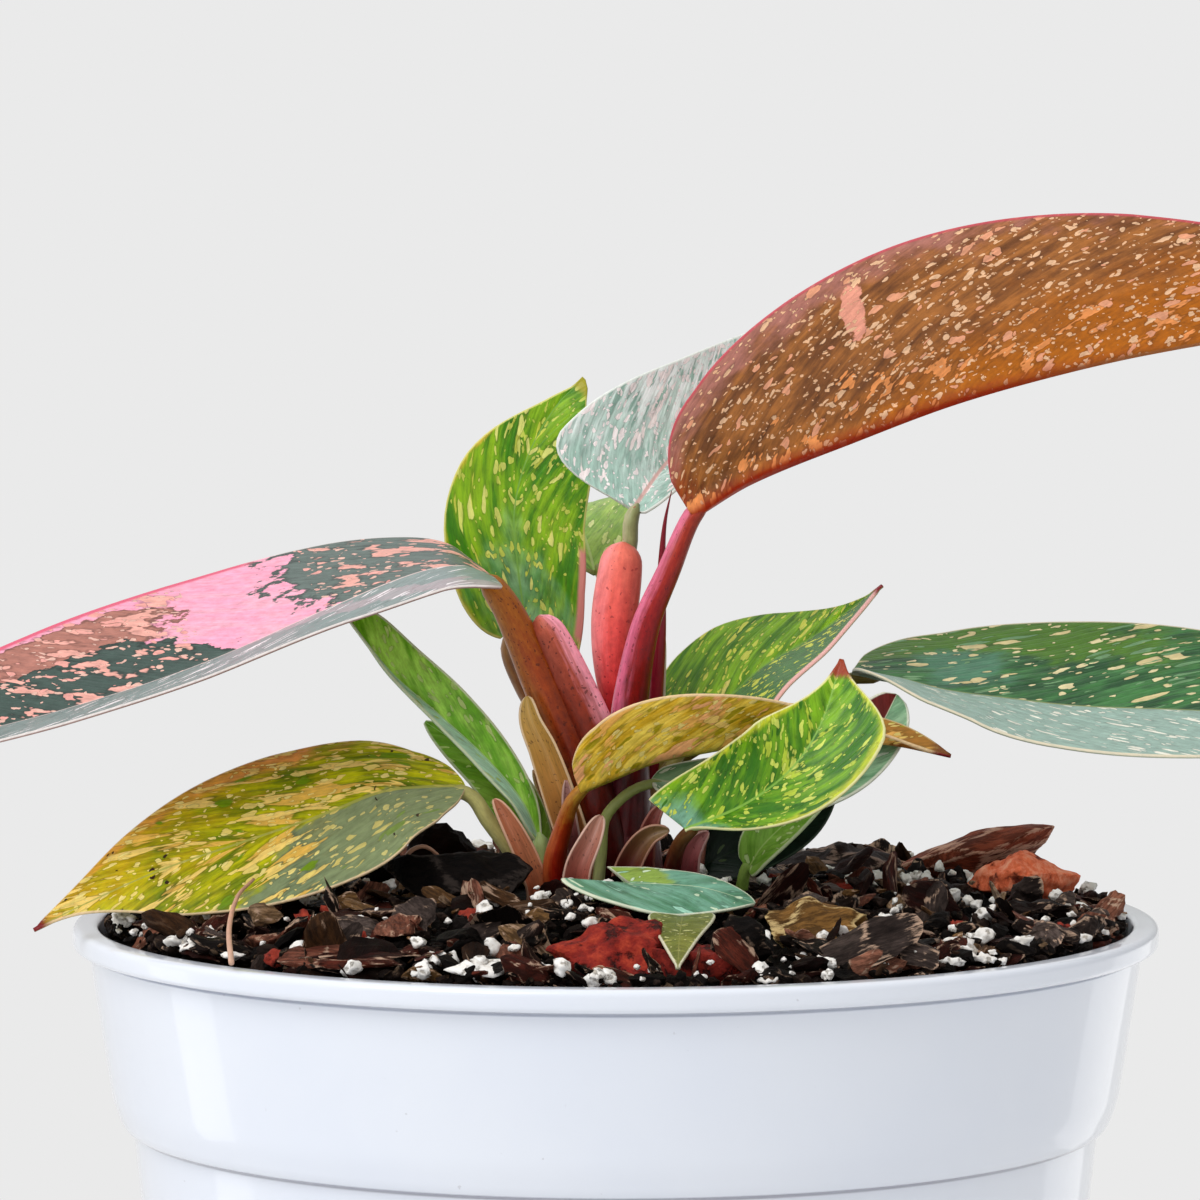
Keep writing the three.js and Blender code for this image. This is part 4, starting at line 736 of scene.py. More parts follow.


# How each leaf is coloured, in six-digit colour codes. Places on a blade are t, the share of the way
# along its rib, and s, the share of the way from the rib to the margin, above zero on the right.
#   ground    the two colours that run into each other in streaks along the side veins
#   sweep     how far the side veins lean to the tip, or at the base and at the tip
#   gloss     roughness; seed where its noises start
#   regions   colour, raggedness, softness and where: above zero inside the region
#   outline   how dark the line is that runs round the regions
#   near      colour, amount and side of a half that is paler and greyer, a painted sheen; near_calm what
#             it takes from the other marks, and near_dashes its own dashes
#   dashes    colour, width and length in mm, and the share of cells that hold a dash
#   splashes  colour, width and length in mm, and the noise level above which one shows
#   rim       how dark the edge round dashes and splashes is
#   quiet     where there are fewer marks; veil a colour and how much of it lies there
#   specks    colour and share of cells of small dark specks
#   rib       colour and width of the midrib; rib_end its colour further on, and where that starts
#   glow      colour, width and amount of a flush along the midrib; base the same at the foot
#   margin    colour and width of the edge; margin_right another for the right, from and to where
#   tip       colour and where it starts
#   under     colour and amount on the underside; top the same on the upper side
#   stalk     colours from the foot to the blade; dots colour and share of cells of its dots
#   sheen     colour, amount and side of a flush on the stalk, 1 for the right: partly its own colour and
#             partly a painted sheen, with painted shade on the other side
#   sheath    colours of what wraps the stalk; sheath_sheen its flush of colour and painted sheen
LOOKS = {
    "leaf_bronze_right": dict(
        ground=("7C4A26", "B06E34"), sweep=(0.8, 2.0), gloss=0.38, seed=1,
        regions=[
            ("BC6808", 0.35, 0.45, lambda t, s: (t - 0.16 - 0.85 * np.abs(s)) * 2.0),
            # Painted sheen: a pale pink band along the margins
            ("B8786A", 0.5, 0.4, lambda t, s: (np.abs(s) - 0.8 - 0.35 * t) * 3),
            ("F5A58C", 0.55, 0.05, lambda t, s: spot(t, s, 0.29, 0.76, 0.014, 0.15, 0.5) * 0.8),
        ],
        dashes=[("F4C094", 0.32, 0.65, 0.36), ("F6C69C", 0.46, 1.3, 0.34), ("F2A882", 0.65, 2.1, 0.18)],
        splashes=[("F69C58", 0.9, 3.4, 0.61)], quiet=lambda t, s: ease(np.abs(s), 0.3, 0.6) * 0.85,
        glow=("C03408", 2.0, 0.8),
        rib=("B41E0C", 1.5), rib_end=("B0642A", 0.5), margin=("C8505C", 0.4), base=("B83A1C", 0.04),
        stalk=("480408", "6E0610", "9E1016", "B03A20"), sheen=("E8789C", 0.8, -1), dots=("5E0C1A", 0.2),
        top=("4A5230", 0.5),
    ),
    "leaf_pink_left": dict(
        ground=("FAAEC2", "FCA0BC"), gloss=0.38, seed=2,
        regions=[
            ("5E6C66", 0.5, 0.03, lambda t, s: (0.245 + 0.17 * s - 0.13 * s * s - t) * 6),
            ("B07466", 0.5, 0.04, lambda t, s: np.minimum(
                np.minimum((t - 0.455 - 1.5 * (s - 0.66) ** 2) * 7, (s - 0.45) * 6), (0.9 - s) * 8)),
            ("3E514A", 0.5, 0.03, lambda t, s: np.minimum((t - 0.38 - 0.3 * s) * 7, (0.54 - s) * 6)),
        ],
        near=("8C9C9A", 0.85, -1), near_calm=0.5, near_dashes=("F4ECEE", 0.5, 3.6, 0.6), rim=0.4,
        outline=0.45,
        quiet=lambda t, s: ease(t, 0.22, 0.26) * ease(-t, -0.47, -0.43) * ease(s, -0.05, 0),
        dashes=[("EFA59A", 0.8, 2.0, 0.3), ("E8B8A8", 0.45, 1.2, 0.35)],
        splashes=[("F0AC9E", 1.7, 4.2, 0.585)],
        rib=("F4D9D4", 0.8), margin=("E6DCD8", 0.4), margin_right=("E0607C", 0.9, 0.3, 0.97),
        stalk=("480406", "74180A", "AC4408", "BC7010"), sheen=("CC9A48", 0.3, -1), dots=("4A1208", 0.25),
        sheath=("5A0A0A", "9A3214", "C45C42"), sheath_sheen=("FFA6BA", 1.0, 1),
        under=("8C5648", 0.7),
    ),
    "leaf_silver_top": dict(
        # Its pale blue-grey ground is partly the leaf's own colour and partly a painted reflection of
        # the bright room
        ground=("CEE4DA", "F8FCFA"), sweep=1.5, gloss=0.42, seed=3,
        regions=[("A8C8BA", 0.5, 0.5, lambda t, s: (0.2 - t) * 3)],
        dashes=[("FAECEA", 0.9, 1.0, 0.4), ("F8ECEA", 0.5, 1.0, 0.4), ("F8ECEA", 0.35, 0.4, 0.4)],
        rim=0.2, splashes=[("F6E8E4", 1.4, 3.2, 0.63), ("96B8AA", 0.5, 2.0, 0.62)],
        rib=("D8A8A0", 0.8), margin=("E9EEE6", 0.35),
        stalk=("A83A36", "8E8458", "8E9460"), sheen=("E0D0B0", 0.4, -1), dots=("A02830", 0.13),
        sheath=("D83038", "FA5C56", "F47C66"), sheath_sheen=("F8969A", 0.7, -1), under=("A9BDB2", 0.5),
    ),
    "leaf_heart_back": dict(
        ground=("3E8204", "8AB614"), sweep=3.4, gloss=0.36, seed=4,
        regions=[
            ("86B484", 0.5, 0.6, lambda t, s: (0.2 - t - 0.3 * np.abs(s + 0.1)) * 2.4),
            ("D9B93A", 0.6, 0.3, lambda t, s: np.minimum((np.abs(s) - 0.97) * 6, (-s) * 4)),
        ],
        dashes=[("C4CE52", 0.4, 1.0, 0.4), ("CFD466", 0.6, 1.8, 0.3), ("DCDC78", 0.75, 2.6, 0.16)],
        splashes=[("C9CF4A", 0.7, 4.0, 0.68)],
        rib=("7CAC4A", 0.4), margin=("D8D478", 0.3), tip=("A8A02A", 0.95),
        margin_right=("D88A80", 0.9, 0.02, 0.3),
        stalk=("4A1A14", "7A3A26", "8E6A3A"), sheen=("C89A70", 0.3, -1), under=("8DB86A", 0.5),
    ),
    "leaf_green_rear": dict(
        ground=("7FA63A", "9CB84E"), gloss=0.4, seed=5,
        dashes=[("D8DC90", 0.6, 1.8, 0.3), ("6A9020", 0.8, 2.4, 0.3)],
        splashes=[("C9D07A", 1.2, 3.5, 0.68)],
        rib=("B8C87A", 0.6), margin=("DDE0B0", 0.35),
        stalk=("5A2A1C", "8A6A3A", "93984E"), under=("A9BE74", 0.5),
    ),
    "leaf_dark_right": dict(
        ground=("1E4E28", "3E7A3E"), sweep=1.9, gloss=0.34, seed=6,
        regions=[
            # This pale right half, like the near half below, is partly a painted sheen
            ("9CB8AE", 0.25, 0.1, lambda t, s: (s - 0.02) * 9),
            ("4C7A1C", 0.6, 0.3, lambda t, s: np.minimum(0.5 - t, -s - 0.55) * 3),
            ("4C8062", 0.7, 0.4, lambda t, s: spot(t, s, 0.17, -0.4, 0.07, 0.3, 0.0)),
        ],
        near=("94B2A4", 0.75, 1), near_calm=0.5, near_dashes=("F0EEDE", 0.5, 2.6, 0.9),
        dashes=[("E6D8A6", 0.5, 1.4, 0.3), ("DCCB94", 0.9, 3.0, 0.22), ("6E9A6A", 0.5, 3.0, 0.3)],
        splashes=[("D8C58C", 1.1, 4.5, 0.71)],
        rib=("8E985A", 0.8), margin=("E8DCC0", 0.45),
        stalk=("7A6A2A", "8E7E34", "7C6A2E"), sheen=("B8B070", 0.3, -1), under=("8FA894", 0.6),
    ),
    "leaf_green_right": dict(
        ground=("3E7602", "80B010"), sweep=1.9, gloss=0.34, seed=7,
        regions=[("48743C", 0.25, 0.12, lambda t, s: (s - 0.04) * 8)],
        dashes=[("C8D048", 0.36, 0.9, 0.4), ("CED450", 0.55, 1.5, 0.3)],
        splashes=[("D8CF6C", 1.1, 3.0, 0.71)],
        rib=("6E9A3C", 0.5), margin=("E6E0B8", 0.3), margin_right=("F0B8B0", 0.8, 0.0, 0.97),
        tip=("8E1F28", 0.95),
        stalk=("B0506A", "A8945A", "8FA050"), under=("9BB070", 0.5),
    ),
    "leaf_lime_left": dict(
        ground=("687E00", "C0BE0A"), sweep=3.0, gloss=0.36, seed=8,
        regions=[
            # The grey-green left half near the base, and the veil that lies over it, are partly a
            # painted sheen
            ("7C8A62", 0.5, 0.15, lambda t, s: np.minimum(-s * 4, (0.36 - 0.22 * s - t) * 7)),
            ("F0A050", 0.5, 0.4, lambda t, s: np.minimum((s - 0.8) * 6, (t - 0.25) * 5)),
            ("CCA010", 0.5, 0.6, lambda t, s: (t - 0.62 + 0.25 * s) * 1.2 - 0.25),
        ],
        quiet=lambda t, s: ease(-s, 0, 0.08) * ease(-t, -0.42, -0.3) * 0.85, veil=("849064", 0.5),
        dashes=[("F0DC84", 0.45, 1.1, 0.42), ("E8D070", 0.7, 2.0, 0.3), ("6C8E04", 1.0, 3.4, 0.18)],
        splashes=[("E8B850", 1.2, 7.0, 0.6), ("F2D070", 1.0, 4.5, 0.6)],
        rib=("A8A850", 0.8), margin=("E6C9A0", 0.3), tip=("7A1418", 0.965),
        specks=("2A0A0A", 0.016), stalk=("C8521E", "CCC07A", "CCC878"), sheen=("DDDCA0", 0.4, -1),
        under=("A6A278", 0.6),
    ),
    "leaf_slender_left": dict(
        ground=("72BA1E", "B0E858"), sweep=2.6, gloss=0.34, seed=9,
        regions=[("BCE8CC", 0.25, 0.12, lambda t, s: (-s - 0.05) * 6)],
        dashes=[("B9D878", 0.45, 1.2, 0.35), ("C4DC84", 0.7, 2.0, 0.2)],
        splashes=[("A6C860", 1.0, 3.5, 0.7)],
        rib=("B5D6A0", 0.4), margin=("E4F0C8", 0.35),
        stalk=("A9B070", "B8C27A", "B2CC84"), under=("8DB88A", 0.5),
    ),
    "leaf_olive_front": dict(
        ground=("DCAC1C", "FFDC5C"), sweep=1.6, gloss=0.36, seed=10,
        regions=[("B06A26", 0.3, 0.4, lambda t, s: (t - 0.78) * 6)],
        dashes=[("F0D880", 0.4, 1.0, 0.35), ("F4CC70", 0.7, 2.0, 0.2), ("A8940C", 0.6, 2.4, 0.25)],
        splashes=[("F4B45A", 1.4, 4.5, 0.58), ("FFB87C", 2.0, 6.0, 0.6)],
        rib=("A89A34", 0.6), margin=("EFCFA0", 0.35), tip=("7A1E1C", 0.95),
        stalk=("5A0404", "8A1006", "9A300A", "B4902C"), sheen=("E08848", 0.35, -1), top=("7C7A2A", 0.3),
    ),
    "leaf_green_front": dict(
        ground=("347202", "78AA12"), sweep=1.5, gloss=0.3, seed=11,
        regions=[
            ("74A78C", 0.4, 0.35, lambda t, s: (0.1 - t + 0.1 * s) * 5),
            ("C6CC28", 0.6, 0.4, lambda t, s: (
                np.minimum(np.abs(s) - 0.9, t - 0.2) * 5 + np.maximum(t - 0.8, 0) * 4)),
        ],
        dashes=[("C0CE4E", 0.32, 0.8, 0.4), ("C8D45C", 0.46, 1.3, 0.28), ("2E6A02", 0.6, 2.4, 0.3)],
        splashes=[("B4C838", 0.8, 2.4, 0.66)],
        rib=("84B442", 0.6), margin=("E6E2A8", 0.35), tip=("9A3E24", 0.92),
        stalk=("3A0A08", "4E1610", "6A4420"), under=("9DBB70", 0.5),
    ),
    "leaf_grey_behind": dict(
        ground=("64946A", "8CB28A"), gloss=0.4, seed=12,
        regions=[("6A1C18", 0.3, 0.1, lambda t, s: np.minimum((t - 0.8) * 6, -s * 3))],
        dashes=[("D0DCC8", 0.6, 1.6, 0.2)],
        rib=("C8CFB0", 0.5), margin=("E3E6D2", 0.4),
        stalk=("B9B48A", "A2AC62", "93A05A"), under=("7E9A72", 0.6),
    ),
    "leaf_light_low": dict(
        ground=("6FAC2E", "90C050"), gloss=0.36, seed=13,
        dashes=[("C8E09A", 0.5, 1.2, 0.3)],
        rib=("B4D27A", 0.4), margin=("DDE8BE", 0.35), stalk=("8EB04E", "8EB04E", "9CBC5A"),
        under=("9DC070", 0.5),
    ),
    "leaf_shade_right": dict(
        # Painted shade: the near-black ground stands for the shade this leaf lies in under the others
        ground=("0E1E16", "182C20"), gloss=0.4, seed=14,
        dashes=[("5C7048", 0.5, 1.8, 0.12)],
        rib=("2A3E2A", 0.3), margin=("3A4E3A", 0.25), stalk=("3A2018", "33402A", "30442E"),
        under=("1C2C22", 0.5),
    ),
    "leaf_bluish_low": dict(
        # Its blue-grey ground is partly the leaf's own colour and partly a painted reflection of the
        # bright room
        ground=("568C6C", "76AA92"), sweep=2.4, gloss=0.3, seed=15,
        regions=[("8CA84E", 0.5, 0.2, lambda t, s: np.minimum(-s - 0.1, 0.3 - t) * 4)],
        dashes=[("CFE3C4", 0.5, 1.2, 0.2)], splashes=[("A6DCC4", 1.4, 4.5, 0.62)],
        rib=("C9DDB6", 0.3), margin=("E6EAD0", 0.4), stalk=("7E9A70", "7E9A70", "7E9A70"),
        under=("8DB07A", 0.5),
    ),
    "leaf_olive_tip": dict(
        ground=("646A2A", "7E823C"), gloss=0.36, seed=16,
        dashes=[("C9C88A", 0.5, 0.8, 0.45)], splashes=[("A8A65A", 1.0, 2.4, 0.66)],
        rib=("8E8E4A", 0.3), margin=("E0DCC0", 0.3), specks=("20200E", 0.05),
        stalk=("6E7434", "6E7434", "6E7434"), under=("8A8A5A", 0.5),
    ),
    "leaf_bright_left": dict(
        ground=("7CB82E", "9ACA4E"), sweep=1.4, gloss=0.36, seed=17,
        dashes=[("CDE88A", 0.5, 1.4, 0.3)],
        rib=("B8DC8A", 0.4), margin=("E0EEC0", 0.3), stalk=("A9C070", "A0C468", "9CC860"),
        under=("A4CC74", 0.5),
    ),
}
LOOK_DEFAULTS = dict(sweep=1.2, regions=(), splashes=(), rim=0.3)


# Materials

def tint(code):
    """The linear values, which shaders take, of a six-digit colour code."""
    parts = [int(code[i:i + 2], 16) / 255 for i in (0, 2, 4)]
    return (*[p / 12.92 if p <= 0.04045 else ((p + 0.055) / 1.055) ** 2.4 for p in parts], 1.0)


class Value:
    """A node's output, so that sums on it read as sums: each operator adds a Math node."""

    def __init__(self, paint, socket):
        self.paint = paint
        self.socket = socket

    def sum(self, operation, first, second=0.0):
        """A Math node on two values or numbers."""
        return self.paint.node("ShaderNodeMath", {"operation": operation}, {0: first, 1: second})

    def __add__(self, other):
        return self.sum("ADD", self, other)

    def __sub__(self, other):
        return self.sum("SUBTRACT", self, other)

    def __rsub__(self, other):
        return self.sum("SUBTRACT", other, self)

    def __mul__(self, other):
        return self.sum("MULTIPLY", self, other)

    def __truediv__(self, other):
        return self.sum("DIVIDE", self, other)

    def __rtruediv__(self, other):
        return self.sum("DIVIDE", other, self)

    def __gt__(self, other):
        return self.sum("GREATER_THAN", self, other)

    def __lt__(self, other):
        return self.sum("LESS_THAN", self, other)

    def __abs__(self):
        return self.sum("ABSOLUTE", self)

    __radd__ = __add__
    __rmul__ = __mul__


# The colour sockets of a Mix node, which share their names with its other sockets
MIX_FIRST = 6
MIX_SECOND = 7
MIX_RESULT = 2


class Paint:
    """One material, or the world, and the nodes in it."""

    def __init__(self, name, owner=None):
        self.owner = owner or bpy.data.materials.new(name)
        self.owner.use_nodes = True
        self.tree = self.owner.node_tree
        self.tree.nodes.clear()

    def node(self, kind, settings=None, inputs=None, output=0):
        """A node of a kind: its settings first, then the links or values of its sockets, where a
        six-digit code stands for a colour."""
        made = self.tree.nodes.new(kind)
        for name, value in (settings or {}).items():
            if name == "stops":
                ramp = made.color_ramp.elements
                while len(ramp) < len(value):
                    ramp.new(0.5)
                for element, (position, colour) in zip(ramp, value):
                    element.position = position
                    element.color = colour
            else:
                setattr(made, name, value)
        for name, value in (inputs or {}).items():
            if isinstance(value, Value):
                self.tree.links.new(value.socket, made.inputs[name])
            else:
                made.inputs[name].default_value = tint(value) if isinstance(value, str) else value
        return Value(self, made.outputs[output]) if made.outputs else None

    def mark(self, name):
        """The three numbers of a mark on the mesh."""
        vector = self.node("ShaderNodeAttribute", {"attribute_name": name}, output="Vector")
        return self.parts(vector)

    def parts(self, vector):
        """The three numbers of a vector or colour."""
        split = self.node("ShaderNodeSeparateXYZ", inputs={0: vector}).socket.node
        return [Value(self, socket) for socket in split.outputs]

    def point(self, x, y, z=0.0):
        return self.node("ShaderNodeCombineXYZ", inputs={0: x, 1: y, 2: z})

    def step(self, value, low, high):
        """0 at low, 1 at high and smooth between them, where low may be the greater of the two."""
        settings = {"interpolation_type": "SMOOTHSTEP"}
        return self.node("ShaderNodeMapRange", settings, {0: value, 1: low, 2: high})

    def noise(self, place, detail=3.0, rough=0.55, scale=1.0, flat=True, output=0):
        """Cloudy noise, by default one over a plane."""
        settings = {"noise_dimensions": "2D" if flat else "3D"}
        inputs = {"Vector": place, "Scale": scale, "Detail": detail, "Roughness": rough}
        return self.node("ShaderNodeTexNoise", settings, inputs, output)

    def mix(self, share, first, second):
        """The first colour where share is 0, the second where it is 1."""
        inputs = {0: share, MIX_FIRST: first, MIX_SECOND: second}
        return self.node("ShaderNodeMix", {"data_type": "RGBA"}, inputs, MIX_RESULT)

    def ramp(self, value, codes, low=0.0, high=1.0):
        """Colour codes at even steps of a value from low to high."""
        steps = len(codes) - 1
        stops = [(low + (high - low) * i / steps, tint(code)) for i, code in enumerate(codes)]
        return self.node("ShaderNodeValToRGB", {"stops": stops}, {0: value})

    def shade(self, colour, value):
        """The colour made brighter or darker by a factor."""
        return self.node("ShaderNodeVectorMath", {"operation": "SCALE"}, {0: colour, "Scale": value})

    def dashes(self, across, run, wide, long, share, seed):
        """Small marks drawn out along the veins, each of its own size, in a share of the cells. Gives
        how far inside a mark a place is: above zero in it, and down to -0.1 in a rim round it."""
        place = self.point(across / (wide * 4) + seed, run / (long * 3))
        shift_x, shift_y, _ = self.parts(self.noise(place, rough=0.5, output="Color"))
        x = across / (wide * 2.2) + shift_x * 1.7 + seed * 7.3
        y = run / (long * 1.7) + shift_y * 1.5 + seed * 3.1
        cell = self.node("ShaderNodeTexVoronoi", {"voronoi_dimensions": "2D"},
                         {"Vector": self.point(x, y), "Scale": 1.0})
        chance = Value(self, cell.socket.node.outputs["Color"])
        red, green, _ = self.parts(chance)
        size = (red > 1 - share) * (0.2 + 0.32 * green * green) - 0.1
        return size - cell

    def flecks(self, colour, depth, code, rim=0.3, strength=0.95):
        """The colour with marks of another colour in it, and a slightly darker rim round them."""
        rimmed = self.shade(colour, 1 - rim * self.step(depth, -0.1, -0.01))
        return self.mix(self.step(depth, -0.015, 0.03) * strength, rimmed, code)

    def splashes(self, across, run, wide, long, level, seed):
        """Ragged patches drawn out along the veins, where a noise is above a level."""
        place = self.point(across / (wide * 2) + seed * 5.7, run / (long * 2) + seed * 9.1)
        return (self.noise(place) - level) * 1.2

    def bump(self, height, strength, distance):
        """A normal from a height from 0 to 1, and how many mm that is."""
        inputs = {"Strength": strength, "Distance": distance * MM, "Height": height}
        return self.node("ShaderNodeBump", inputs=inputs)

    def finish(self, colour, roughness, normal=None, **constants):
        """Ends in the main shader. Constants are set on its sockets, such as Coat_Weight=0.3."""
        inputs = {"Base Color": colour, "Roughness": roughness}
        if normal:
            inputs["Normal"] = normal
        inputs.update({name.replace("_", " "): value for name, value in constants.items()})
        shader = self.node("ShaderNodeBsdfPrincipled", inputs=inputs)
        self.node("ShaderNodeOutputMaterial", inputs={"Surface": shader})
        return self.owner


def leaf_paint(name, look):
    """A blade: streaky ground, regions, flecks along the veins, midrib, margin and tip, and on some a
    half that is paler as painted sheen.
    """
    paint = Paint(name)
    along, share, under = paint.mark("place")
    rib, margin, _ = paint.mark("reach")
    across, run, quiet = paint.mark("vein")
    tones = paint.mark("tone")
    seed = look["seed"]
    cloud = paint.noise(paint.point(across / 9 + seed, run / 12))
    streak = paint.noise(paint.point(across / 1.5 + seed, run / 10), 4.0, 0.6)
    mottle = paint.noise(paint.point(across / 1.0 + seed * 2, run / 2.2), 4.0, 0.65)
    fine = paint.noise(paint.point(across / 0.4 + seed, run / 5), 3.0, 0.6)
    colour = paint.mix(paint.step(cloud * 0.35 + streak * 0.65, 0.36, 0.64), *look["ground"])
    for number, (code, ragged, soft, _) in enumerate(look["regions"]):
        place = paint.point(across / 4 + number * 3.7 + seed, run / 6)
        inside = tones[number] + (paint.noise(place, 4.0, 0.58) - 0.5) * (ragged * 2.6)
        colour = paint.mix(paint.step(inside, -soft, soft), colour, code)
        if "outline" in look:
            line = paint.step(inside, -0.03, 0.03) * paint.step(inside, 0.16, 0.06)
            colour = paint.shade(colour, 1 - look["outline"] * line)
    near = None
    # Painted sheen: one half of the blade paler and greyer, as a reflection of the bright room would
    # make it
    if "near" in look:
        code, amount, way = look["near"]
        near = (share * way > 0.0) * amount
        colour = paint.mix(near * (0.75 + 0.4 * streak), colour, code)
    if "base" in look:
        code, reach = look["base"]
        colour = paint.mix(paint.step(along + fine * 0.05, reach * 1.8, 0.0) * 0.9, colour, code)
    marks = [(code, paint.splashes(across, run, wide, long, level, seed + 0.37 * k) - quiet * 0.3)
             for k, (code, wide, long, level) in enumerate(look["splashes"])]
    marks += [(code, paint.dashes(across, run, wide, long, chance * (0.4 + 1.2 * cloud), seed + 1.3 * k))
              for k, (code, wide, long, chance) in enumerate(look["dashes"])]
    # The painted sheen takes from the other marks and has pale dashes of its own
    if near:
        marks = [(code, depth - near * look["near_calm"]) for code, depth in marks]
        code, wide, long, chance = look["near_dashes"]
        marks.append((code, paint.dashes(across, run, wide, long, chance * near, seed + 21)))
    for code, depth in marks:
        if "quiet" in look:
            depth = depth - (quiet > 0.9) * 0.5
        colour = paint.flecks(colour, depth, code, look["rim"])
    if "veil" in look:
        code, amount = look["veil"]
        colour = paint.mix(quiet * amount, colour, code)
    colour = paint.shade(colour, 0.25 + 0.85 * mottle + 0.3 * streak + 0.35 * fine)
    if "specks" in look:
        code, chance = look["specks"]
        colour = paint.flecks(colour, paint.dashes(across, run, 0.5, 0.7, chance, seed + 40), code)
    if "glow" in look:
        code, width, amount = look["glow"]
        glow = paint.step(rib + mottle * width * 0.5, width * 1.2, 0.0) * amount
        colour = paint.mix(glow * paint.step(along, 0.75, 0.35), colour, code)
    rib_colour, width = look["rib"]
    if "rib_end" in look:
        code, start = look["rib_end"]
        rib_colour = paint.mix(paint.step(along, start - 0.12, start + 0.12), rib_colour, code)
    narrowing = 1.15 - 0.8 * along
    line = paint.step(rib, width * 0.5 * narrowing, width * 0.2 * narrowing)
    colour = paint.mix(line * 0.85, colour, rib_colour)
    code, width = look["margin"]
    edge = paint.step(margin, width * 1.2, width * 0.5)
    colour = paint.mix(edge * (0.6 + 0.6 * fine), colour, code)
    if "margin_right" in look:
        code, width, start, end = look["margin_right"]
        edge = paint.step(margin, width * 1.3, width * 0.7) * (share > 0.0)
        edge = edge * paint.step(along, start, start + 0.04) * paint.step(along, end + 0.04, end)
        colour = paint.mix(edge, colour, code)
    if "tip" in look:
        code, start = look["tip"]
        colour = paint.mix(paint.step(along + fine * 0.03, start, start + 0.035), colour, code)
    if "under" in look:
        code, amount = look["under"]
        colour = paint.mix(under * amount, colour, code)
    if "top" in look:
        code, amount = look["top"]
        colour = paint.mix((1 - under) * amount, colour, code)
    vein = paint.node("ShaderNodeMath", {"operation": "PINGPONG"}, {0: across, 1: 0.65})
    pores = paint.noise(paint.point(across / 0.25, run / 0.4), 2.0)
    height = paint.step(vein, 0.0, 0.3) * 0.4 + pores * 0.35 + fine * 0.4 + mottle * 0.5
    roughness = look["gloss"] + 0.16 * (mottle - 0.5)
    normal = paint.bump(height, 0.5, 0.16)
    return paint.finish(colour, roughness, normal, Coat_Weight=0.05, Coat_Roughness=0.25,
                        Specular_IOR_Level=0.24)


def stalk_paint(name, codes, sheen=None, dots=None, gloss=0.3):
    """A stem: colours that change along it, fine streaks, small dots, and on one side a flush that is
    partly its own colour and partly painted sheen, with painted shade on the other side.
    """
    paint = Paint(name)
    along, side, _ = paint.mark("place")
    around, run, _ = paint.mark("vein")
    streak = paint.noise(paint.point(around / 0.8, run / 8), 4.0, 0.62)
    mottle = paint.noise(paint.point(around / 0.9 + 4, run / 1.6), 4.0, 0.65)
    colour = paint.ramp(along + (mottle - 0.5) * 0.3, codes)
    if sheen:
        code, amount, way = sheen
        # Painted sheen on one side, partly the stalk's own flush of colour, fading out towards the foot
        flush_and_sheen = paint.step((streak - 0.5) * 0.9 + side * way, 0.05, 0.95) * amount
        flush_and_sheen = flush_and_sheen * paint.step(along, 0.08, 0.45)
        colour = paint.mix(flush_and_sheen, colour, code)
        # Painted shade: the side away from the sheen is darker
        colour = paint.shade(colour, 1 - 0.35 * paint.step(side * way, 0.2, -0.9))
    if dots:
        code, chance = dots
        depth = paint.dashes(around, run, 0.24, 0.36, chance * (0.4 + 1.2 * mottle), seed=3.0)
        colour = paint.flecks(colour, depth, code, rim=0.1, strength=0.6)
    colour = paint.shade(colour, 0.5 + 0.6 * mottle + 0.4 * streak)
    height = streak * 0.6 + 0.4 * paint.noise(paint.point(around / 0.2, run / 1.2), 2.0)
    return paint.finish(colour, gloss + 0.1 * streak, paint.bump(height, 0.5, 0.16), Coat_Weight=0.14,
                        Coat_Roughness=0.18, Specular_IOR_Level=0.25)


def sheath_paint(name, codes):
    """A small sheath: colour along it, fine lines, brown dots and a pale rim."""
    paint = Paint(name)
    along, share, _ = paint.mark("place")
    _, margin, _ = paint.mark("reach")
    across, run, _ = paint.mark("vein")
    lines = paint.noise(paint.point(share * 9, along * 2.5), 3.0, 0.6)
    *body, rim = codes
    colour = paint.ramp(along + (lines - 0.5) * 0.2, body)
    dark = paint.mix(0.5, colour, (0.05, 0.012, 0.008, 1))
    colour = paint.mix(paint.step(lines, 0.48, 0.72) * 0.5, colour, dark)
    mottle = paint.noise(paint.point(share * 4, along * 9), 4.0, 0.65)
    colour = paint.shade(colour, 0.68 + 0.6 * mottle)
    dots = paint.dashes(across, run, 0.2, 0.3, 0.14, seed=2.0)
    colour = paint.flecks(colour, dots, "4A2418", rim=0.0, strength=0.6)
    colour = paint.mix(paint.step(margin, 0.2, 0.05) * 0.7, colour, rim)
    return paint.finish(colour, 0.4 + 0.1 * lines, paint.bump(lines, 0.35, 0.15), Coat_Weight=0.2,
                        Coat_Roughness=0.3)


def pot_paint(name, colour):
    """Glossy white moulded plastic, with faint unevenness, a few fine scuffs and dark lines of painted
    shade in the groove under the lip and below the step.
    """
    paint = Paint(name)
    place = paint.node("ShaderNodeTexCoord", output="Object")
    haze = paint.noise(place, 3.0, 0.5, scale=30.0, flat=False)
    scuffs = paint.noise(place, 2.0, 0.5, scale=700.0, flat=False)
    shade = paint.mix(paint.step(haze, 0.35, 0.7) * 0.35, colour, "DCE3F2")
    specks = paint.step(scuffs, 0.76, 0.8) * 0.35
    shade = paint.mix(specks, shade, "A8A8B0")
    _, _, height = paint.parts(place)
    # Painted shade: dark lines in the groove under the lip and below the step
    for line, depth, amount in POT_SHADE_LINES:
        groove_shade = paint.step(abs(height - line * MM), depth * MM, depth * 0.3 * MM) * amount
        shade = paint.mix(groove_shade, shade, "6E6C80")
    roughness = 0.28 + 0.1 * haze + 0.2 * specks
    return paint.finish(shade, roughness, paint.bump(haze, 0.06, 0.2), Coat_Weight=1.0,
                        Coat_Roughness=0.06)


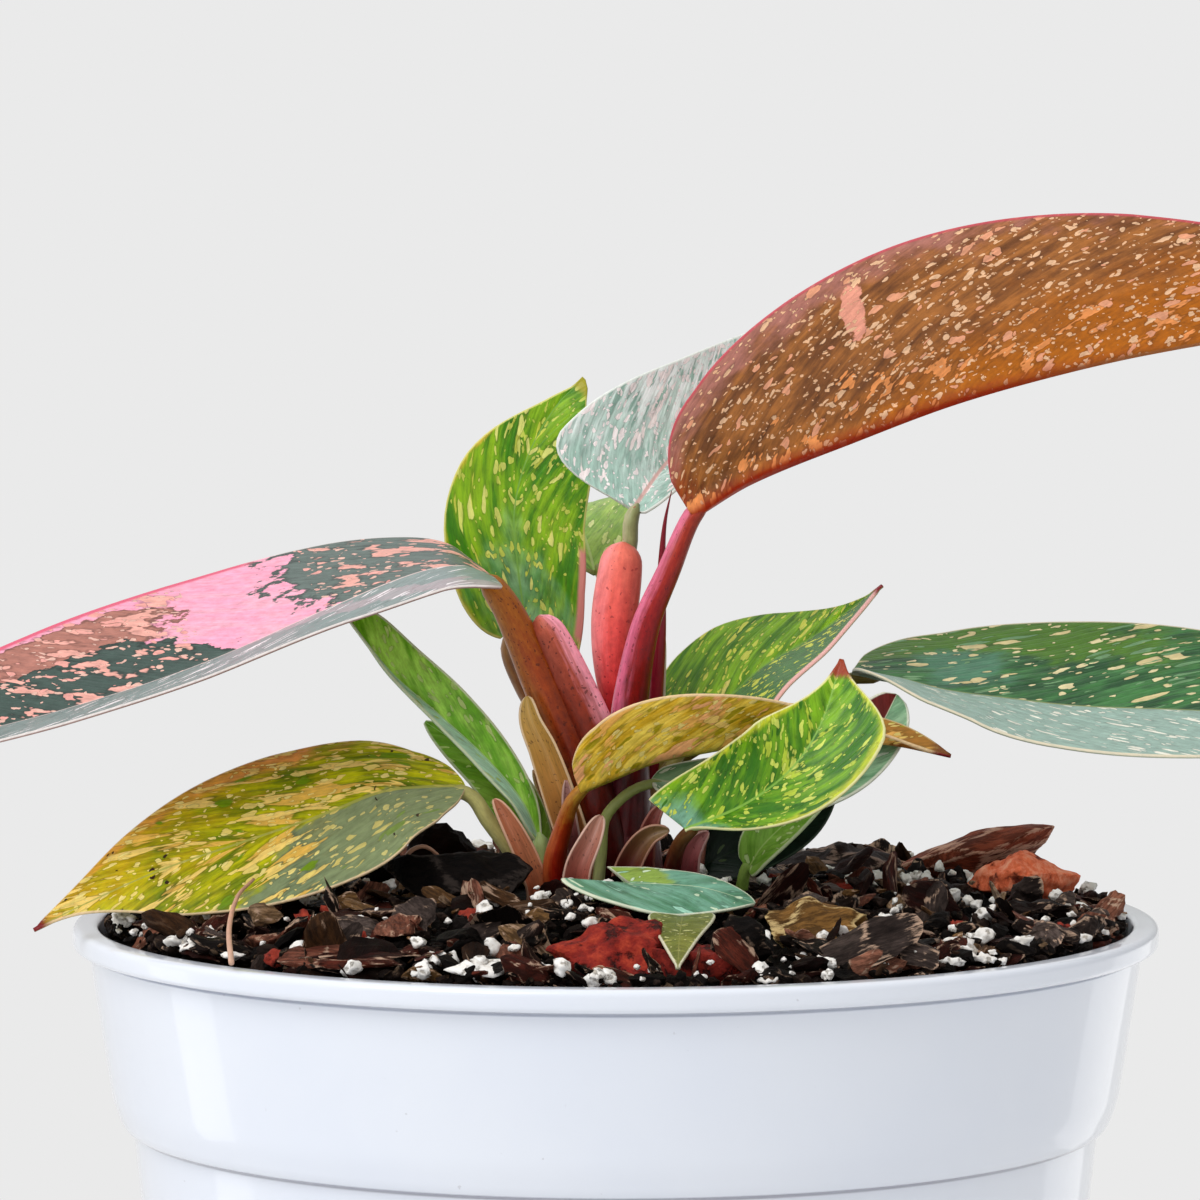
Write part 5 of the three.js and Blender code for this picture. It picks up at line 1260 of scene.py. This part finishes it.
def bark_paint(name, codes, edge_code):
    """Bark: its own shade for each chip, split fibres, and pale broken edges that are partly painted
    highlights.
    """
    paint = Paint(name)
    x, y, z = paint.mark("place")
    shade, edge, _ = paint.mark("tone")
    fibre = paint.noise(paint.point(x / 3, y / 0.6, z / 0.6), 5.0, 0.75, flat=False)
    blotch = paint.noise(paint.point(x / 5, y / 3, z / 3), 3.0, 0.6, flat=False)
    colour = paint.ramp(shade + (blotch - 0.5) * 0.35, codes)
    dark = paint.mix(0.6, colour, (0.008, 0.005, 0.004, 1))
    colour = paint.mix(paint.step(fibre, 0.42, 0.58), dark, colour)
    colour = paint.shade(colour, 0.3 + 1.4 * blotch)
    # Pale broken edges, partly worn wood and partly painted edge highlights
    worn_edge_and_highlight = paint.step(edge + (fibre - 0.5) * 0.5, 0.92, 1.0) * paint.step(shade, 0.1, 0.4)
    colour = paint.mix(worn_edge_and_highlight * 0.9, colour, edge_code)
    normal = paint.bump(fibre * 0.8 + blotch * 0.4, 0.9, 0.7)
    return paint.finish(colour, 0.76 - 0.35 * blotch, normal, Specular_IOR_Level=0.07)


def grit_paint(name, codes, pit_code, size, roughness, depth):
    """Lava and perlite: a grainy ground with dark pits."""
    paint = Paint(name)
    x, y, z = paint.mark("place")
    place = paint.point(x / size, y / size, z / size)
    grain = paint.noise(place, 5.0, 0.7, flat=False)
    pits = paint.node("ShaderNodeTexVoronoi", {"feature": "SMOOTH_F1"}, {"Vector": place, "Scale": 0.9})
    colour = paint.ramp(grain, codes, 0.3, 0.7)
    hole = paint.step(pits + (grain - 0.5) * 1.6, 0.3, 0.06)
    colour = paint.mix(hole * 0.8, colour, pit_code)
    height = grain * 0.7 + (1 - hole) * 0.6
    return paint.finish(colour, roughness, paint.bump(height, 0.9, depth), Specular_IOR_Level=0.35)


# Pieces of the plant

built = {"blades": [], "stems": []}


def remember(kind, piece):
    """Keeps the low points of a piece, for what lies on the mix to keep clear of."""
    points = np.concatenate(piece.points)
    built[kind].append(points[points[:, 2] < PLANT_CLEAR_HEIGHT])


def build_leaf(form, relief):
    """A leaf: its blade, its stalk and, round two of the stalks, what wraps them."""
    name = form["name"]
    look = {**LOOK_DEFAULTS, **LOOKS[name]}
    paints = [
        leaf_paint("blade_" + name, look),
        stalk_paint("stalk_" + name, look["stalk"], look.get("sheen"), look.get("dots")),
    ]
    piece = PieceMesh()
    add_blade(piece, form, look, relief)
    remember("blades", piece)
    stalk = PieceMesh()
    add_stalk(stalk, form["stalk"])
    remember("stems", stalk)
    add_stalk(piece, form["stalk"], 1, round_from=0.94)
    if "sheath" in form:
        wrap = (look["sheath"], look["sheath_sheen"], look["dots"])
        paints.append(stalk_paint("wrap_" + name, *wrap, gloss=0.38))
        add_stalk(piece, form["sheath"], 2, step=0.6, round_from=0.88)
    piece.show("fine_" + name, paints, [name])


def build_sheath(name, rib, face, width, fold, codes):
    """A small sheath, which is a short blade that is folded up at its sides."""
    piece = PieceMesh()
    form = dict(SHEATH_FORM, rib=rib, face=[face], width=width, fold=[(fold,) * 3] * 2)
    add_blade(piece, form, LOOK_DEFAULTS, SHEATH_RELIEF, 0.5)
    remember("stems", piece)
    piece.show("fine_" + name, [sheath_paint("paint_" + name, codes)], [name])


def build_stem(form, slot, **end):
    """The crown, or a rolled new leaf."""
    name = form["name"]
    piece = PieceMesh()
    add_stalk(piece, form, sides=32, step=0.7, **end)
    remember("stems", piece)
    piece.show("fine_" + name, [stalk_paint("paint_" + name, form["codes"])], [name])


# The pot

def rounded(corners, steps=6):
    """A profile with round corners, from rows of radius, height and how round the corner is."""
    line = []
    for i, (r, z, size) in enumerate(corners):
        here = np.array([r, z], float)
        if size == 0 or i in (0, len(corners) - 1):
            line.append(here)
            continue
        before = np.array(corners[i - 1][:2], float) - here
        after = np.array(corners[i + 1][:2], float) - here
        cut = min(size, 0.45 * np.linalg.norm(before), 0.45 * np.linalg.norm(after))
        first, last = here + unit(before) * cut, here + unit(after) * cut
        for k in range(steps + 1):
            u = k / steps
            line.append(first * (1 - u) ** 2 + here * 2 * u * (1 - u) + last * u * u)
    return np.array(line)


def wall_inside(gap):
    """Inside of the pot wall below the collar, moved in by a gap."""
    return [
        (COLLAR_LOW_RADIUS - POT_WALL - gap, COLLAR_LOW_HEIGHT),
        (STEP_RADIUS - STEP_INSET - POT_WALL - gap, STEP_HEIGHT + 1),
        (BASE_RADIUS - POT_WALL - gap, POT_FLOOR + gap),
    ]


def lathe(piece, profile, sides):
    """Turns a profile of radii and heights about Z."""
    piece.add_tube(np.stack([circle(radius, full_turn(sides), z) for radius, z in profile]))


def cut_with(thing, cutter):
    """Takes the cutter's shape out of a mesh and leaves no modifier behind."""
    cut = thing.modifiers.new("holes", "BOOLEAN")
    cut.object = cutter
    cut.solver = "EXACT"
    evaluated = thing.evaluated_get(bpy.context.evaluated_depsgraph_get())
    mesh = bpy.data.meshes.new_from_object(evaluated)
    thing.modifiers.clear()
    old = thing.data
    thing.data = mesh
    bpy.data.meshes.remove(old)
    bpy.data.objects.remove(cutter)


def build_pot(settings):
    """The pot: a turned wall with a lip, a collar and a step, and holes in its floor."""
    low = POT_HEIGHT - LIP_HEIGHT
    corners = [
        (0.5, 0, 0), (BASE_RADIUS, 0, 1.2), (STEP_RADIUS - STEP_INSET, STEP_HEIGHT - 0.3, 0.6),
        (STEP_RADIUS + 0.4, STEP_HEIGHT, 0.5), (STEP_RADIUS + 1, STEP_HEIGHT + 1, 0.8),
        (COLLAR_LOW_RADIUS, COLLAR_LOW_HEIGHT, 1.5), (COLLAR_TOP_RADIUS, low - 0.5, 0.2),
        (COLLAR_TOP_RADIUS - 0.3, low - 0.3, 0.1), (COLLAR_TOP_RADIUS - 0.3, low, 0.1),
        (RIM_RADIUS, low + 0.2, 0.9), (RIM_RADIUS, POT_HEIGHT - 0.1, 1.1),
        (COLLAR_TOP_RADIUS - POT_WALL + 0.4, POT_HEIGHT, 0.9),
    ]
    corners += [(r, z, 1) for r, z in wall_inside(0)] + [(0.5, POT_FLOOR, 0)]
    piece = PieceMesh()
    lathe(piece, rounded(corners), POT_SIDES)
    paint = pot_paint("pot_plastic", (*settings.colour, 1.0))
    pot = piece.show("fine_pot", [paint], ["pot"])
    drills = PieceMesh()
    ring = circle(DRAIN_RADIUS, full_turn(DRILL_SIDES), 0)
    for i in range(DRAIN_HOLES):
        middle = 2 * np.pi * (i + 0.5) / DRAIN_HOLES
        hole = ring + (DRAIN_CIRCLE * math.cos(middle), DRAIN_CIRCLE * math.sin(middle), 0)
        drills.add_tube(np.stack([hole - (0, 0, POT_FLOOR), hole + (0, 0, 2 * POT_FLOOR)]))
    cut_with(pot, drills.show("drills", []))


# The mix

MOUND_SIDES = 192
MOUND_RINGS = 64
# The mound lies this far below the height at which pieces are laid, and so far below the rim, from
# where it may rise with this slope; its ripples by height, length and seed
MOUND_SINK = 1.2
RIM_CLEAR = 1.6
RIM_SLOPE = 40
MOUND_RIPPLES = ((0.9, 9, 4), (0.5, 3.5, 5))
# It stays this far below the blades within a reach of them
UNDER_BLADE = 1.2
BLADE_REACH = 2.2


def add_mound(piece):
    """The body of the mix: its top under the chips, then down the inside of the wall to the floor."""
    edge = COLLAR_TOP_RADIUS - POT_WALL - SOIL_GAP
    turn = full_turn(MOUND_SIDES)
    rings = []
    blades = np.concatenate(built["blades"])
    near = KDTree(len(blades))
    for i, point in enumerate(blades):
        near.insert((point[0], point[1], 0), i)
    near.balance()
    for ring in np.linspace(0.01, 1, MOUND_RINGS) ** 0.8:
        flat = circle(ring * edge, turn, 0)
        x, y, _ = flat.T
        z = ground_height(x, y)
        for height, length, seed in MOUND_RIPPLES:
            z = z + height * ripples(flat, length, seed)
        z = z - MOUND_SINK
        for i in range(len(x)):
            over = [blades[k][2] for _, k, _ in near.find_range((x[i], y[i], 0), BLADE_REACH)]
            if over:
                z[i] = min(z[i], min(over) - UNDER_BLADE)
        z = np.minimum(z, POT_HEIGHT - RIM_CLEAR + RIM_SLOPE * (1 - ring))
        rings.append(np.stack([x, y, z], -1))
    rings += [circle(radius, turn, z) for radius, z in wall_inside(SOIL_GAP)]
    rings = np.stack(rings)[:, ::-1]
    piece.add_tube(rings, place=rings, tone=np.zeros_like(rings))


@functools.cache
def round_ball(detail):
    """The corners and faces of a ball of many triangles."""
    ball = bmesh.new()
    bmesh.ops.create_icosphere(ball, subdivisions=detail, radius=1)
    points = unit(np.array([v.co for v in ball.verts]))
    faces = np.array([[v.index for v in face.verts] for face in ball.faces])
    ball.free()
    return points, faces


def turned(points, angles):
    """The points turned about X, then Y, then Z."""
    for axis, angle in enumerate(angles):
        c, s = math.cos(angle), math.sin(angle)
        a, b = (axis + 1) % 3, (axis + 2) % 3
        turned_points = points.copy()
        turned_points[:, a] = c * points[:, a] - s * points[:, b]
        turned_points[:, b] = s * points[:, a] + c * points[:, b]
        points = turned_points
    return points


def chunk(detail, size, draw, planes, rough, bend=0.0):
    """A broken piece: a ball cut back by random planes, stretched, roughened and bent. Gives how near
    each point lies to an edge too, where pale worn edges and painted edge highlights go."""
    points, faces = round_ball(detail)
    ways = unit(draw.normal(size=(planes, 3)))
    reach = draw.uniform(0.5, 0.85, planes)
    facing = points @ ways.T
    limits = np.where(facing > 0.05, reach / np.maximum(facing, 0.05), 3.0)
    limits = np.sort(np.concatenate([limits, np.full((len(points), 1), 1.05)], 1), 1)
    edge = limits[:, 0] / limits[:, 1]
    shape = points * limits[:, :1] * np.array(size) / 2
    shape = shape + points * (rough * ripples(shape, max(size) * 0.35, draw.integers(9999)))[:, None]
    if bend:
        shape[:, 2] += bend * (shape[:, 0] / size[0]) ** 2 * size[0]
    return shape, faces, edge


class ClearSpace:
    """Tells whether points keep a distance from those gathered so far."""

    def __init__(self, gathered):
        points = np.concatenate(gathered)
        self.tree = KDTree(len(points))
        for i, point in enumerate(points):
            self.tree.insert(point, i)
        self.tree.balance()

    def free(self, points, gap):
        return all(self.tree.find(point)[2] > gap for point in points)


def tones(shade, edge):
    """The tone mark of a broken piece: its shade within its kind, and how near it lies to an edge."""
    return np.stack([shade + 0 * edge, edge, 0 * edge], -1)


def lay(piece, made, place, angles, shade, rise, space=None):
    """Adds a broken piece where it lies, turned and kept inside the rim. Where a space is given, the
    piece is only added if it is free there. Says whether it was added."""
    shape, faces, edge = made
    world = turned(shape, angles)
    x, y = place
    reach = np.hypot(world[:, 0] + x, world[:, 1] + y).max()
    if reach > WALL_CLEAR:
        keep = 1 - (reach - WALL_CLEAR) / math.hypot(x, y)
        x, y = x * keep, y * keep
    world = world + (x, y, ground_height(x, y) + rise)
    if space and not space.free(world[::3], PLANT_GAP):
        return False
    piece.add(world, [faces], place=shape + shade * 50, tone=tones(shade, edge))
    return True


def scatter(piece, space, kind, count, seed, lift, spread=WHOLE_TOP, bends=0.2, lean=0.34):
    """Strews pieces of a kind over the mound, clear of the plant and the stones: their number, how
    high they lie, between which radii, the share that is bent and how much they lean."""
    detail, lengths, widths, depths, planes, rough = STREWN[kind]
    draw = np.random.default_rng(seed)
    laid = 0
    for _ in range(count * 3):
        if laid == count:
            break
        radius = math.sqrt(spread[0] ** 2 + (spread[1] ** 2 - spread[0] ** 2) * draw.random())
        way = draw.uniform(0, 2 * math.pi)
        place = (radius * math.cos(way), radius * math.sin(way))
        long = lengths[0] + (lengths[1] - lengths[0]) * draw.random() ** 2
        size = (long, long * draw.uniform(*widths), long * draw.uniform(*depths))
        bend = draw.uniform(0, 0.5) if draw.random() < bends else 0
        made = chunk(detail, size, draw, planes, rough * size[2], bend)
        angles = (draw.normal() * lean, draw.normal() * lean, draw.uniform(0, 2 * math.pi))
        laid += lay(piece, made, place, angles, draw.random(), draw.uniform(*lift), space)


def lay_by_hand(piece, group):
    """Lays the pieces of a group that the photograph shows clearly."""
    for number, (kind, cut, place, (wide, high), angles, shade) in enumerate(LAID):
        if kind != group:
            continue
        draw = np.random.default_rng(LAID_SEED + number)
        deep, thick, planes, rough, bend = CUTS[cut]
        # The more a piece leans back, the more its depth stands up as height
        upright = 0.35 + 0.65 * math.sin(math.radians(abs(angles[0])))
        size = (wide * 1.15, max(wide * deep, high * upright), max(high * thick, 1.2))
        made = chunk(FINE_DETAIL, size, draw, planes, rough, bend)
        lay(piece, made, place, np.radians(angles), shade, max(high * 0.42, 0.8) + 0.6)


def build_soil(settings, space):
    """The mound with its crumbs, more of them near the wall."""
    soil = PieceMesh()
    add_mound(soil)
    scatter(soil, space, "crumb", settings.crumbs, seed=31, lift=(-0.4, 1.6))
    scatter(soil, space, "crumb", settings.crumbs // 4, seed=32, lift=(0, 1.4), spread=(67, 72))
    # The mix's near-black colour is partly that of its fines and partly painted shade in the gaps
    # between the chips
    paint = bark_paint("potting_mix", ("040302", "0A0605", "1C110C", "3A2C26"), "5A4838")
    soil.show("fine_soil_mix", [paint], ["soil_mix"], smooth=False)


def build_chips(name, group, share, seed, codes, settings, space):
    """The bark chips of one colour: those listed, thick ones, thin flakes and more at the wall."""
    chips = PieceMesh()
    count = int(settings.chips * share)
    lay_by_hand(chips, group)
    scatter(chips, space, "chip", count * 5 // 10, seed, lift=(-0.4, 2.2))
    scatter(chips, space, "flake", count * 4 // 10, seed + 10, lift=(0.2, 2.6), bends=0.5, lean=0.6)
    scatter(chips, space, "chip", count * 2 // 10, seed + 20, lift=(-0.2, 1.0), spread=(60, 72))
    if group == "tan":
        scatter(chips, space, "splinter", SPLINTERS, seed=91, lift=(0.8, 2.8))
    chips.show(name, [bark_paint("paint_" + name, codes, CHIP_EDGE)], smooth=False)


def build_grains(settings, space):
    """White grains of perlite, more of them near the wall."""
    grains = PieceMesh()
    lay_by_hand(grains, "grain")
    scatter(grains, space, "grain", settings.perlite, seed=61, lift=(0.8, 3.2), bends=0)
    scatter(grains, space, "grain", settings.perlite // 5, seed=62, lift=(0.8, 2), spread=(64, 72),
            bends=0)
    codes = ("E6DFD4", "F6F2EC", "FFFEFB")
    paint = grit_paint("perlite", codes, "B5AA9C", size=1.1, roughness=0.8, depth=0.4)
    grains.show("perlite_grains", [paint])


def build_roots():
    """Pale roots that show on the mix."""
    roots = PieceMesh()
    for path in ROOTS:
        add_stalk(roots, dict(path=path, radius=ROOT_RADII), sides=10, step=0.6)
    roots.show("roots", [stalk_paint("roots", ("D0A890", "C8967C", "B88468"))])


def build_grit(space):
    """Small red pieces of lava."""
    grit = PieceMesh()
    lay_by_hand(grit, "lava")
    scatter(grit, space, "grit", LAVA_BITS, seed=71, lift=(0.2, 2.0), bends=0)
    codes = ("4A0E08", "8A2818", "A83C26")
    paint = grit_paint("lava_grit", codes, "1E0604", size=1.6, roughness=0.85, depth=0.6)
    grit.show("lava_grit", [paint])


def build_stone(row, paint, planes, rough):
    """One of the named stones or slabs, in the place of its solid."""
    name, size, angles, seed, _ = row
    low, high = (np.array(corner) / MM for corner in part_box(name))
    shape, faces, edge = chunk(STONE_DETAIL, size, np.random.default_rng(seed), planes, rough)
    shape = shape + unit(shape) * (0.3 * rough * ripples(shape, STONE_RIPPLE, seed))[:, None]
    world = turned(shape, np.radians(angles))
    middle = (world.min(0) + world.max(0)) / 2
    world = (world - middle) * ((high - low) / (world.max(0) - world.min(0))) + (low + high) / 2
    piece = PieceMesh()
    piece.add(world, [faces], place=shape, tone=tones(0.4, edge))
    remember("stems", piece)
    piece.show("fine_" + name, [paint], [name], smooth=False)


# The stage

def floor_paint(name, grey):
    """A pale floor that takes shadows near the pot and runs into the plain backdrop further out."""
    paint = Paint(name)
    place = paint.node("ShaderNodeTexCoord", output="Object")
    x, y, _ = paint.parts(place)
    far = paint.node("ShaderNodeMath", {"operation": "SQRT"}, {0: x * x + y * y})
    speckle = paint.noise(place, 3.0, 0.6, scale=900.0, flat=False)
    matt = paint.node("ShaderNodeBsdfPrincipled", inputs={
        "Base Color": paint.mix(speckle * 0.06, (grey, grey, grey, 1), (0.6, 0.6, 0.62, 1)),
        "Roughness": 0.9,
    })
    glow = paint.node("ShaderNodeEmission", inputs={"Color": (grey, grey, grey, 1), "Strength": 1.0})
    blend = paint.node("ShaderNodeMixShader", inputs={0: paint.step(far, *FLOOR_FADE), 1: matt, 2: glow})
    paint.node("ShaderNodeOutputMaterial", inputs={"Surface": blend})
    return paint.owner


def add_lamp(name, place, aim, size, power, shines):
    """A soft panel of light, its sizes in metres, that looks at a point. One that doesn't shine only
    shows as a reflection."""
    lamp = bpy.data.lights.new(name, "AREA")
    lamp.shape = "RECTANGLE"
    lamp.size, lamp.size_y = size
    lamp.energy = power
    thing = bpy.data.objects.new(name, lamp)
    bpy.context.scene.collection.objects.link(thing)
    thing.location = place
    thing.visible_camera = False
    thing.visible_diffuse = shines
    away = Vector(place) - Vector(aim)
    thing.rotation_euler = away.to_track_quat("Z", "Y").to_euler()


def backdrop_paint(settings):
    """The plain backdrop that is seen, and the softer room light, brighter from above on the left."""
    paint = Paint("backdrop", bpy.data.worlds.new("backdrop"))
    x, y, z = paint.parts(paint.node("ShaderNodeTexCoord", output="Generated"))
    lift = paint.step(z * 0.8 - x * 0.6 - y * 0.05, -0.7, 1.0)
    room = paint.mix(lift, (*[c * ROOM_DIM for c in settings.backdrop], 1),
                     (*[c * ROOM_BRIGHT for c in settings.backdrop], 1))
    seen = paint.node("ShaderNodeBackground", inputs={"Color": (*settings.backdrop, 1), "Strength": 1.0})
    lit = paint.node("ShaderNodeBackground", inputs={"Color": room, "Strength": 1.0})
    path = paint.node("ShaderNodeLightPath")
    both = paint.node("ShaderNodeMixShader", inputs={0: path, 1: lit, 2: seen})
    paint.node("ShaderNodeOutputWorld", inputs={"Surface": both})
    return paint.owner


def add_floor(paint):
    """A wide round floor under the pot."""
    mesh = bpy.data.meshes.new("floor")
    edge = circle(FLOOR_RADIUS, full_turn(FLOOR_SIDES), 0)
    mesh.from_pydata(edge.tolist(), [], [list(range(FLOOR_SIDES))])
    mesh.materials.append(paint)
    thing = bpy.data.objects.new("floor", mesh)
    bpy.context.scene.collection.objects.link(thing)


def add_camera():
    """The camera at the photograph's view."""
    camera = bpy.data.cameras.new("camera")
    camera.sensor_width = SENSOR_WIDTH
    camera.lens = FOCAL_PIXELS / PICTURE_PIXELS * SENSOR_WIDTH
    camera.clip_start, camera.clip_end = CAMERA_CLIP
    holder = bpy.data.objects.new("camera", camera)
    bpy.context.scene.collection.objects.link(holder)
    holder.location = [c * MM for c in CAMERA_PLACE]
    holder.rotation_euler = (math.radians(90 - CAMERA_PITCH), 0, 0)
    bpy.context.scene.camera = holder


def build_stage(settings):
    """The backdrop, the floor, the softboxes and the camera."""
    scene = bpy.context.scene
    scene.view_settings.view_transform = "Standard"
    scene.world = backdrop_paint(settings)
    add_floor(floor_paint("floor", settings.backdrop[0]))
    for name, place, aim, size, share in LAMPS:
        add_lamp(name, place, aim, size, share * settings.light, shines=name == "key")
    add_camera()


# Settings, which a user would change

class PotSettings(bpy.types.PropertyGroup):
    """The pot's finish."""
    colour: bpy.props.FloatVectorProperty(
        name="Plastic", description="Colour of the pot's plastic", subtype="COLOR", size=3,
        min=0, max=1, default=(0.79, 0.83, 0.91))


class MixSettings(bpy.types.PropertyGroup):
    """What lies on the mix."""
    chips: bpy.props.IntProperty(
        name="Bark chips", description="How many bark chips lie on the mix", default=640, min=0)
    crumbs: bpy.props.IntProperty(
        name="Crumbs", description="How many small crumbs lie between the chips", default=1300, min=0)
    perlite: bpy.props.IntProperty(
        name="Perlite", description="How many white grains lie on the mix", default=380, min=0)


class LeafSettings(bpy.types.PropertyGroup):
    """The relief of the leaves."""
    relief: bpy.props.FloatProperty(
        name="Vein relief", description="How strongly the side veins stand out", default=1.0, min=0,
        max=3, subtype="FACTOR")


class StageSettings(bpy.types.PropertyGroup):
    """Light and backdrop."""
    light: bpy.props.FloatProperty(
        name="Light", description="Power of the softboxes", default=9.0, min=0, unit="POWER")
    backdrop: bpy.props.FloatVectorProperty(
        name="Backdrop", description="Colour behind the plant", subtype="COLOR", size=3, min=0, max=1,
        default=(BACKDROP_GREY,) * 3)


# One operator for each piece or group of like pieces

class PHILODENDRON_OT_stage(bpy.types.Operator):
    """Adds the floor, the softboxes and the camera"""
    bl_idname = "philodendron.stage"
    bl_label = "Stage"

    def execute(self, context):
        build_stage(context.scene.philodendron_stage)
        return {"FINISHED"}


class PHILODENDRON_OT_pot(bpy.types.Operator):
    """Adds the glossy plastic pot with its lip, collar and drain holes"""
    bl_idname = "philodendron.pot"
    bl_label = "Pot"

    def execute(self, context):
        build_pot(context.scene.philodendron_pot)
        return {"FINISHED"}


class PHILODENDRON_OT_leaves(bpy.types.Operator):
    """Adds the leaves with their stalks"""
    bl_idname = "philodendron.leaves"
    bl_label = "Leaves"

    def execute(self, context):
        for form in LEAVES:
            build_leaf(form, context.scene.philodendron_leaf.relief)
        return {"FINISHED"}


class PHILODENDRON_OT_stems(bpy.types.Operator):
    """Adds the crown, the sheaths at the foot of the stalks and the new leaves"""
    bl_idname = "philodendron.stems"
    bl_label = "Crown and sheaths"

    def execute(self, context):
        build_stem(CROWN, "crown", round_from=0.9)
        for row in SHEATHS:
            build_sheath(*row)
        for form in SPEARS:
            build_stem(form, "new_leaf", sharp_from=0.6)
        return {"FINISHED"}


class PHILODENDRON_OT_stones(bpy.types.Operator):
    """Adds the lava stones and the large bark pieces"""
    bl_idname = "philodendron.stones"
    bl_label = "Stones and slabs"

    def execute(self, context):
        for row in STONES:
            *codes, pits = row[-1]
            paint = grit_paint("paint_" + row[0], codes, pits, size=2.2, roughness=0.85, depth=0.7)
            build_stone(row, paint, planes=14, rough=0.5)
        for row in SLABS:
            *codes, edge = row[-1]
            paint = bark_paint("paint_" + row[0], codes, edge)
            build_stone(row, paint, planes=16, rough=0.35)
        return {"FINISHED"}


class PHILODENDRON_OT_mix(bpy.types.Operator):
    """Adds the mix with its bark chips, crumbs, perlite, roots and lava grit"""
    bl_idname = "philodendron.mix"
    bl_label = "Potting mix"

    def execute(self, context):
        settings = context.scene.philodendron_mix
        space = ClearSpace(built["blades"] + built["stems"])
        build_soil(settings, space)
        for row in CHIPS:
            build_chips(*row, settings, space)
        build_grains(settings, space)
        build_roots()
        build_grit(space)
        return {"FINISHED"}


class PHILODENDRON_PT_panel(bpy.types.Panel):
    """Lists the settings and the steps that build the plant"""
    bl_label = "Philodendron"
    bl_idname = "PHILODENDRON_PT_panel"
    bl_space_type = "VIEW_3D"
    bl_region_type = "UI"
    bl_category = "Philodendron"

    def draw(self, context):
        scene = context.scene
        layout = self.layout
        for settings, names in PANEL_ROWS:
            box = layout.box()
            for name in names:
                box.prop(getattr(scene, settings), name)
        for step in STEPS:
            layout.operator(step.bl_idname)


PANEL_ROWS = (
    ("philodendron_pot", ("colour",)),
    ("philodendron_mix", ("chips", "crumbs", "perlite")),
    ("philodendron_leaf", ("relief",)),
    ("philodendron_stage", ("light", "backdrop")),
)
SETTINGS = {
    "philodendron_pot": PotSettings,
    "philodendron_mix": MixSettings,
    "philodendron_leaf": LeafSettings,
    "philodendron_stage": StageSettings,
}
STEPS = (
    PHILODENDRON_OT_stage,
    PHILODENDRON_OT_pot,
    PHILODENDRON_OT_leaves,
    PHILODENDRON_OT_stems,
    PHILODENDRON_OT_stones,
    PHILODENDRON_OT_mix,
)


def register():
    for kind in (*SETTINGS.values(), *STEPS, PHILODENDRON_PT_panel):
        bpy.utils.register_class(kind)
    for name, kind in SETTINGS.items():
        setattr(bpy.types.Scene, name, bpy.props.PointerProperty(type=kind))


def unregister():
    for name in SETTINGS:
        delattr(bpy.types.Scene, name)
    for kind in (PHILODENDRON_PT_panel, *STEPS, *SETTINGS.values()):
        bpy.utils.unregister_class(kind)


def main():
    register()
    bpy.ops.philodendron.stage()
    bpy.ops.philodendron.pot()
    bpy.ops.philodendron.leaves()
    bpy.ops.philodendron.stems()
    bpy.ops.philodendron.stones()
    bpy.ops.philodendron.mix()


if __name__ == "__main__":
    main()
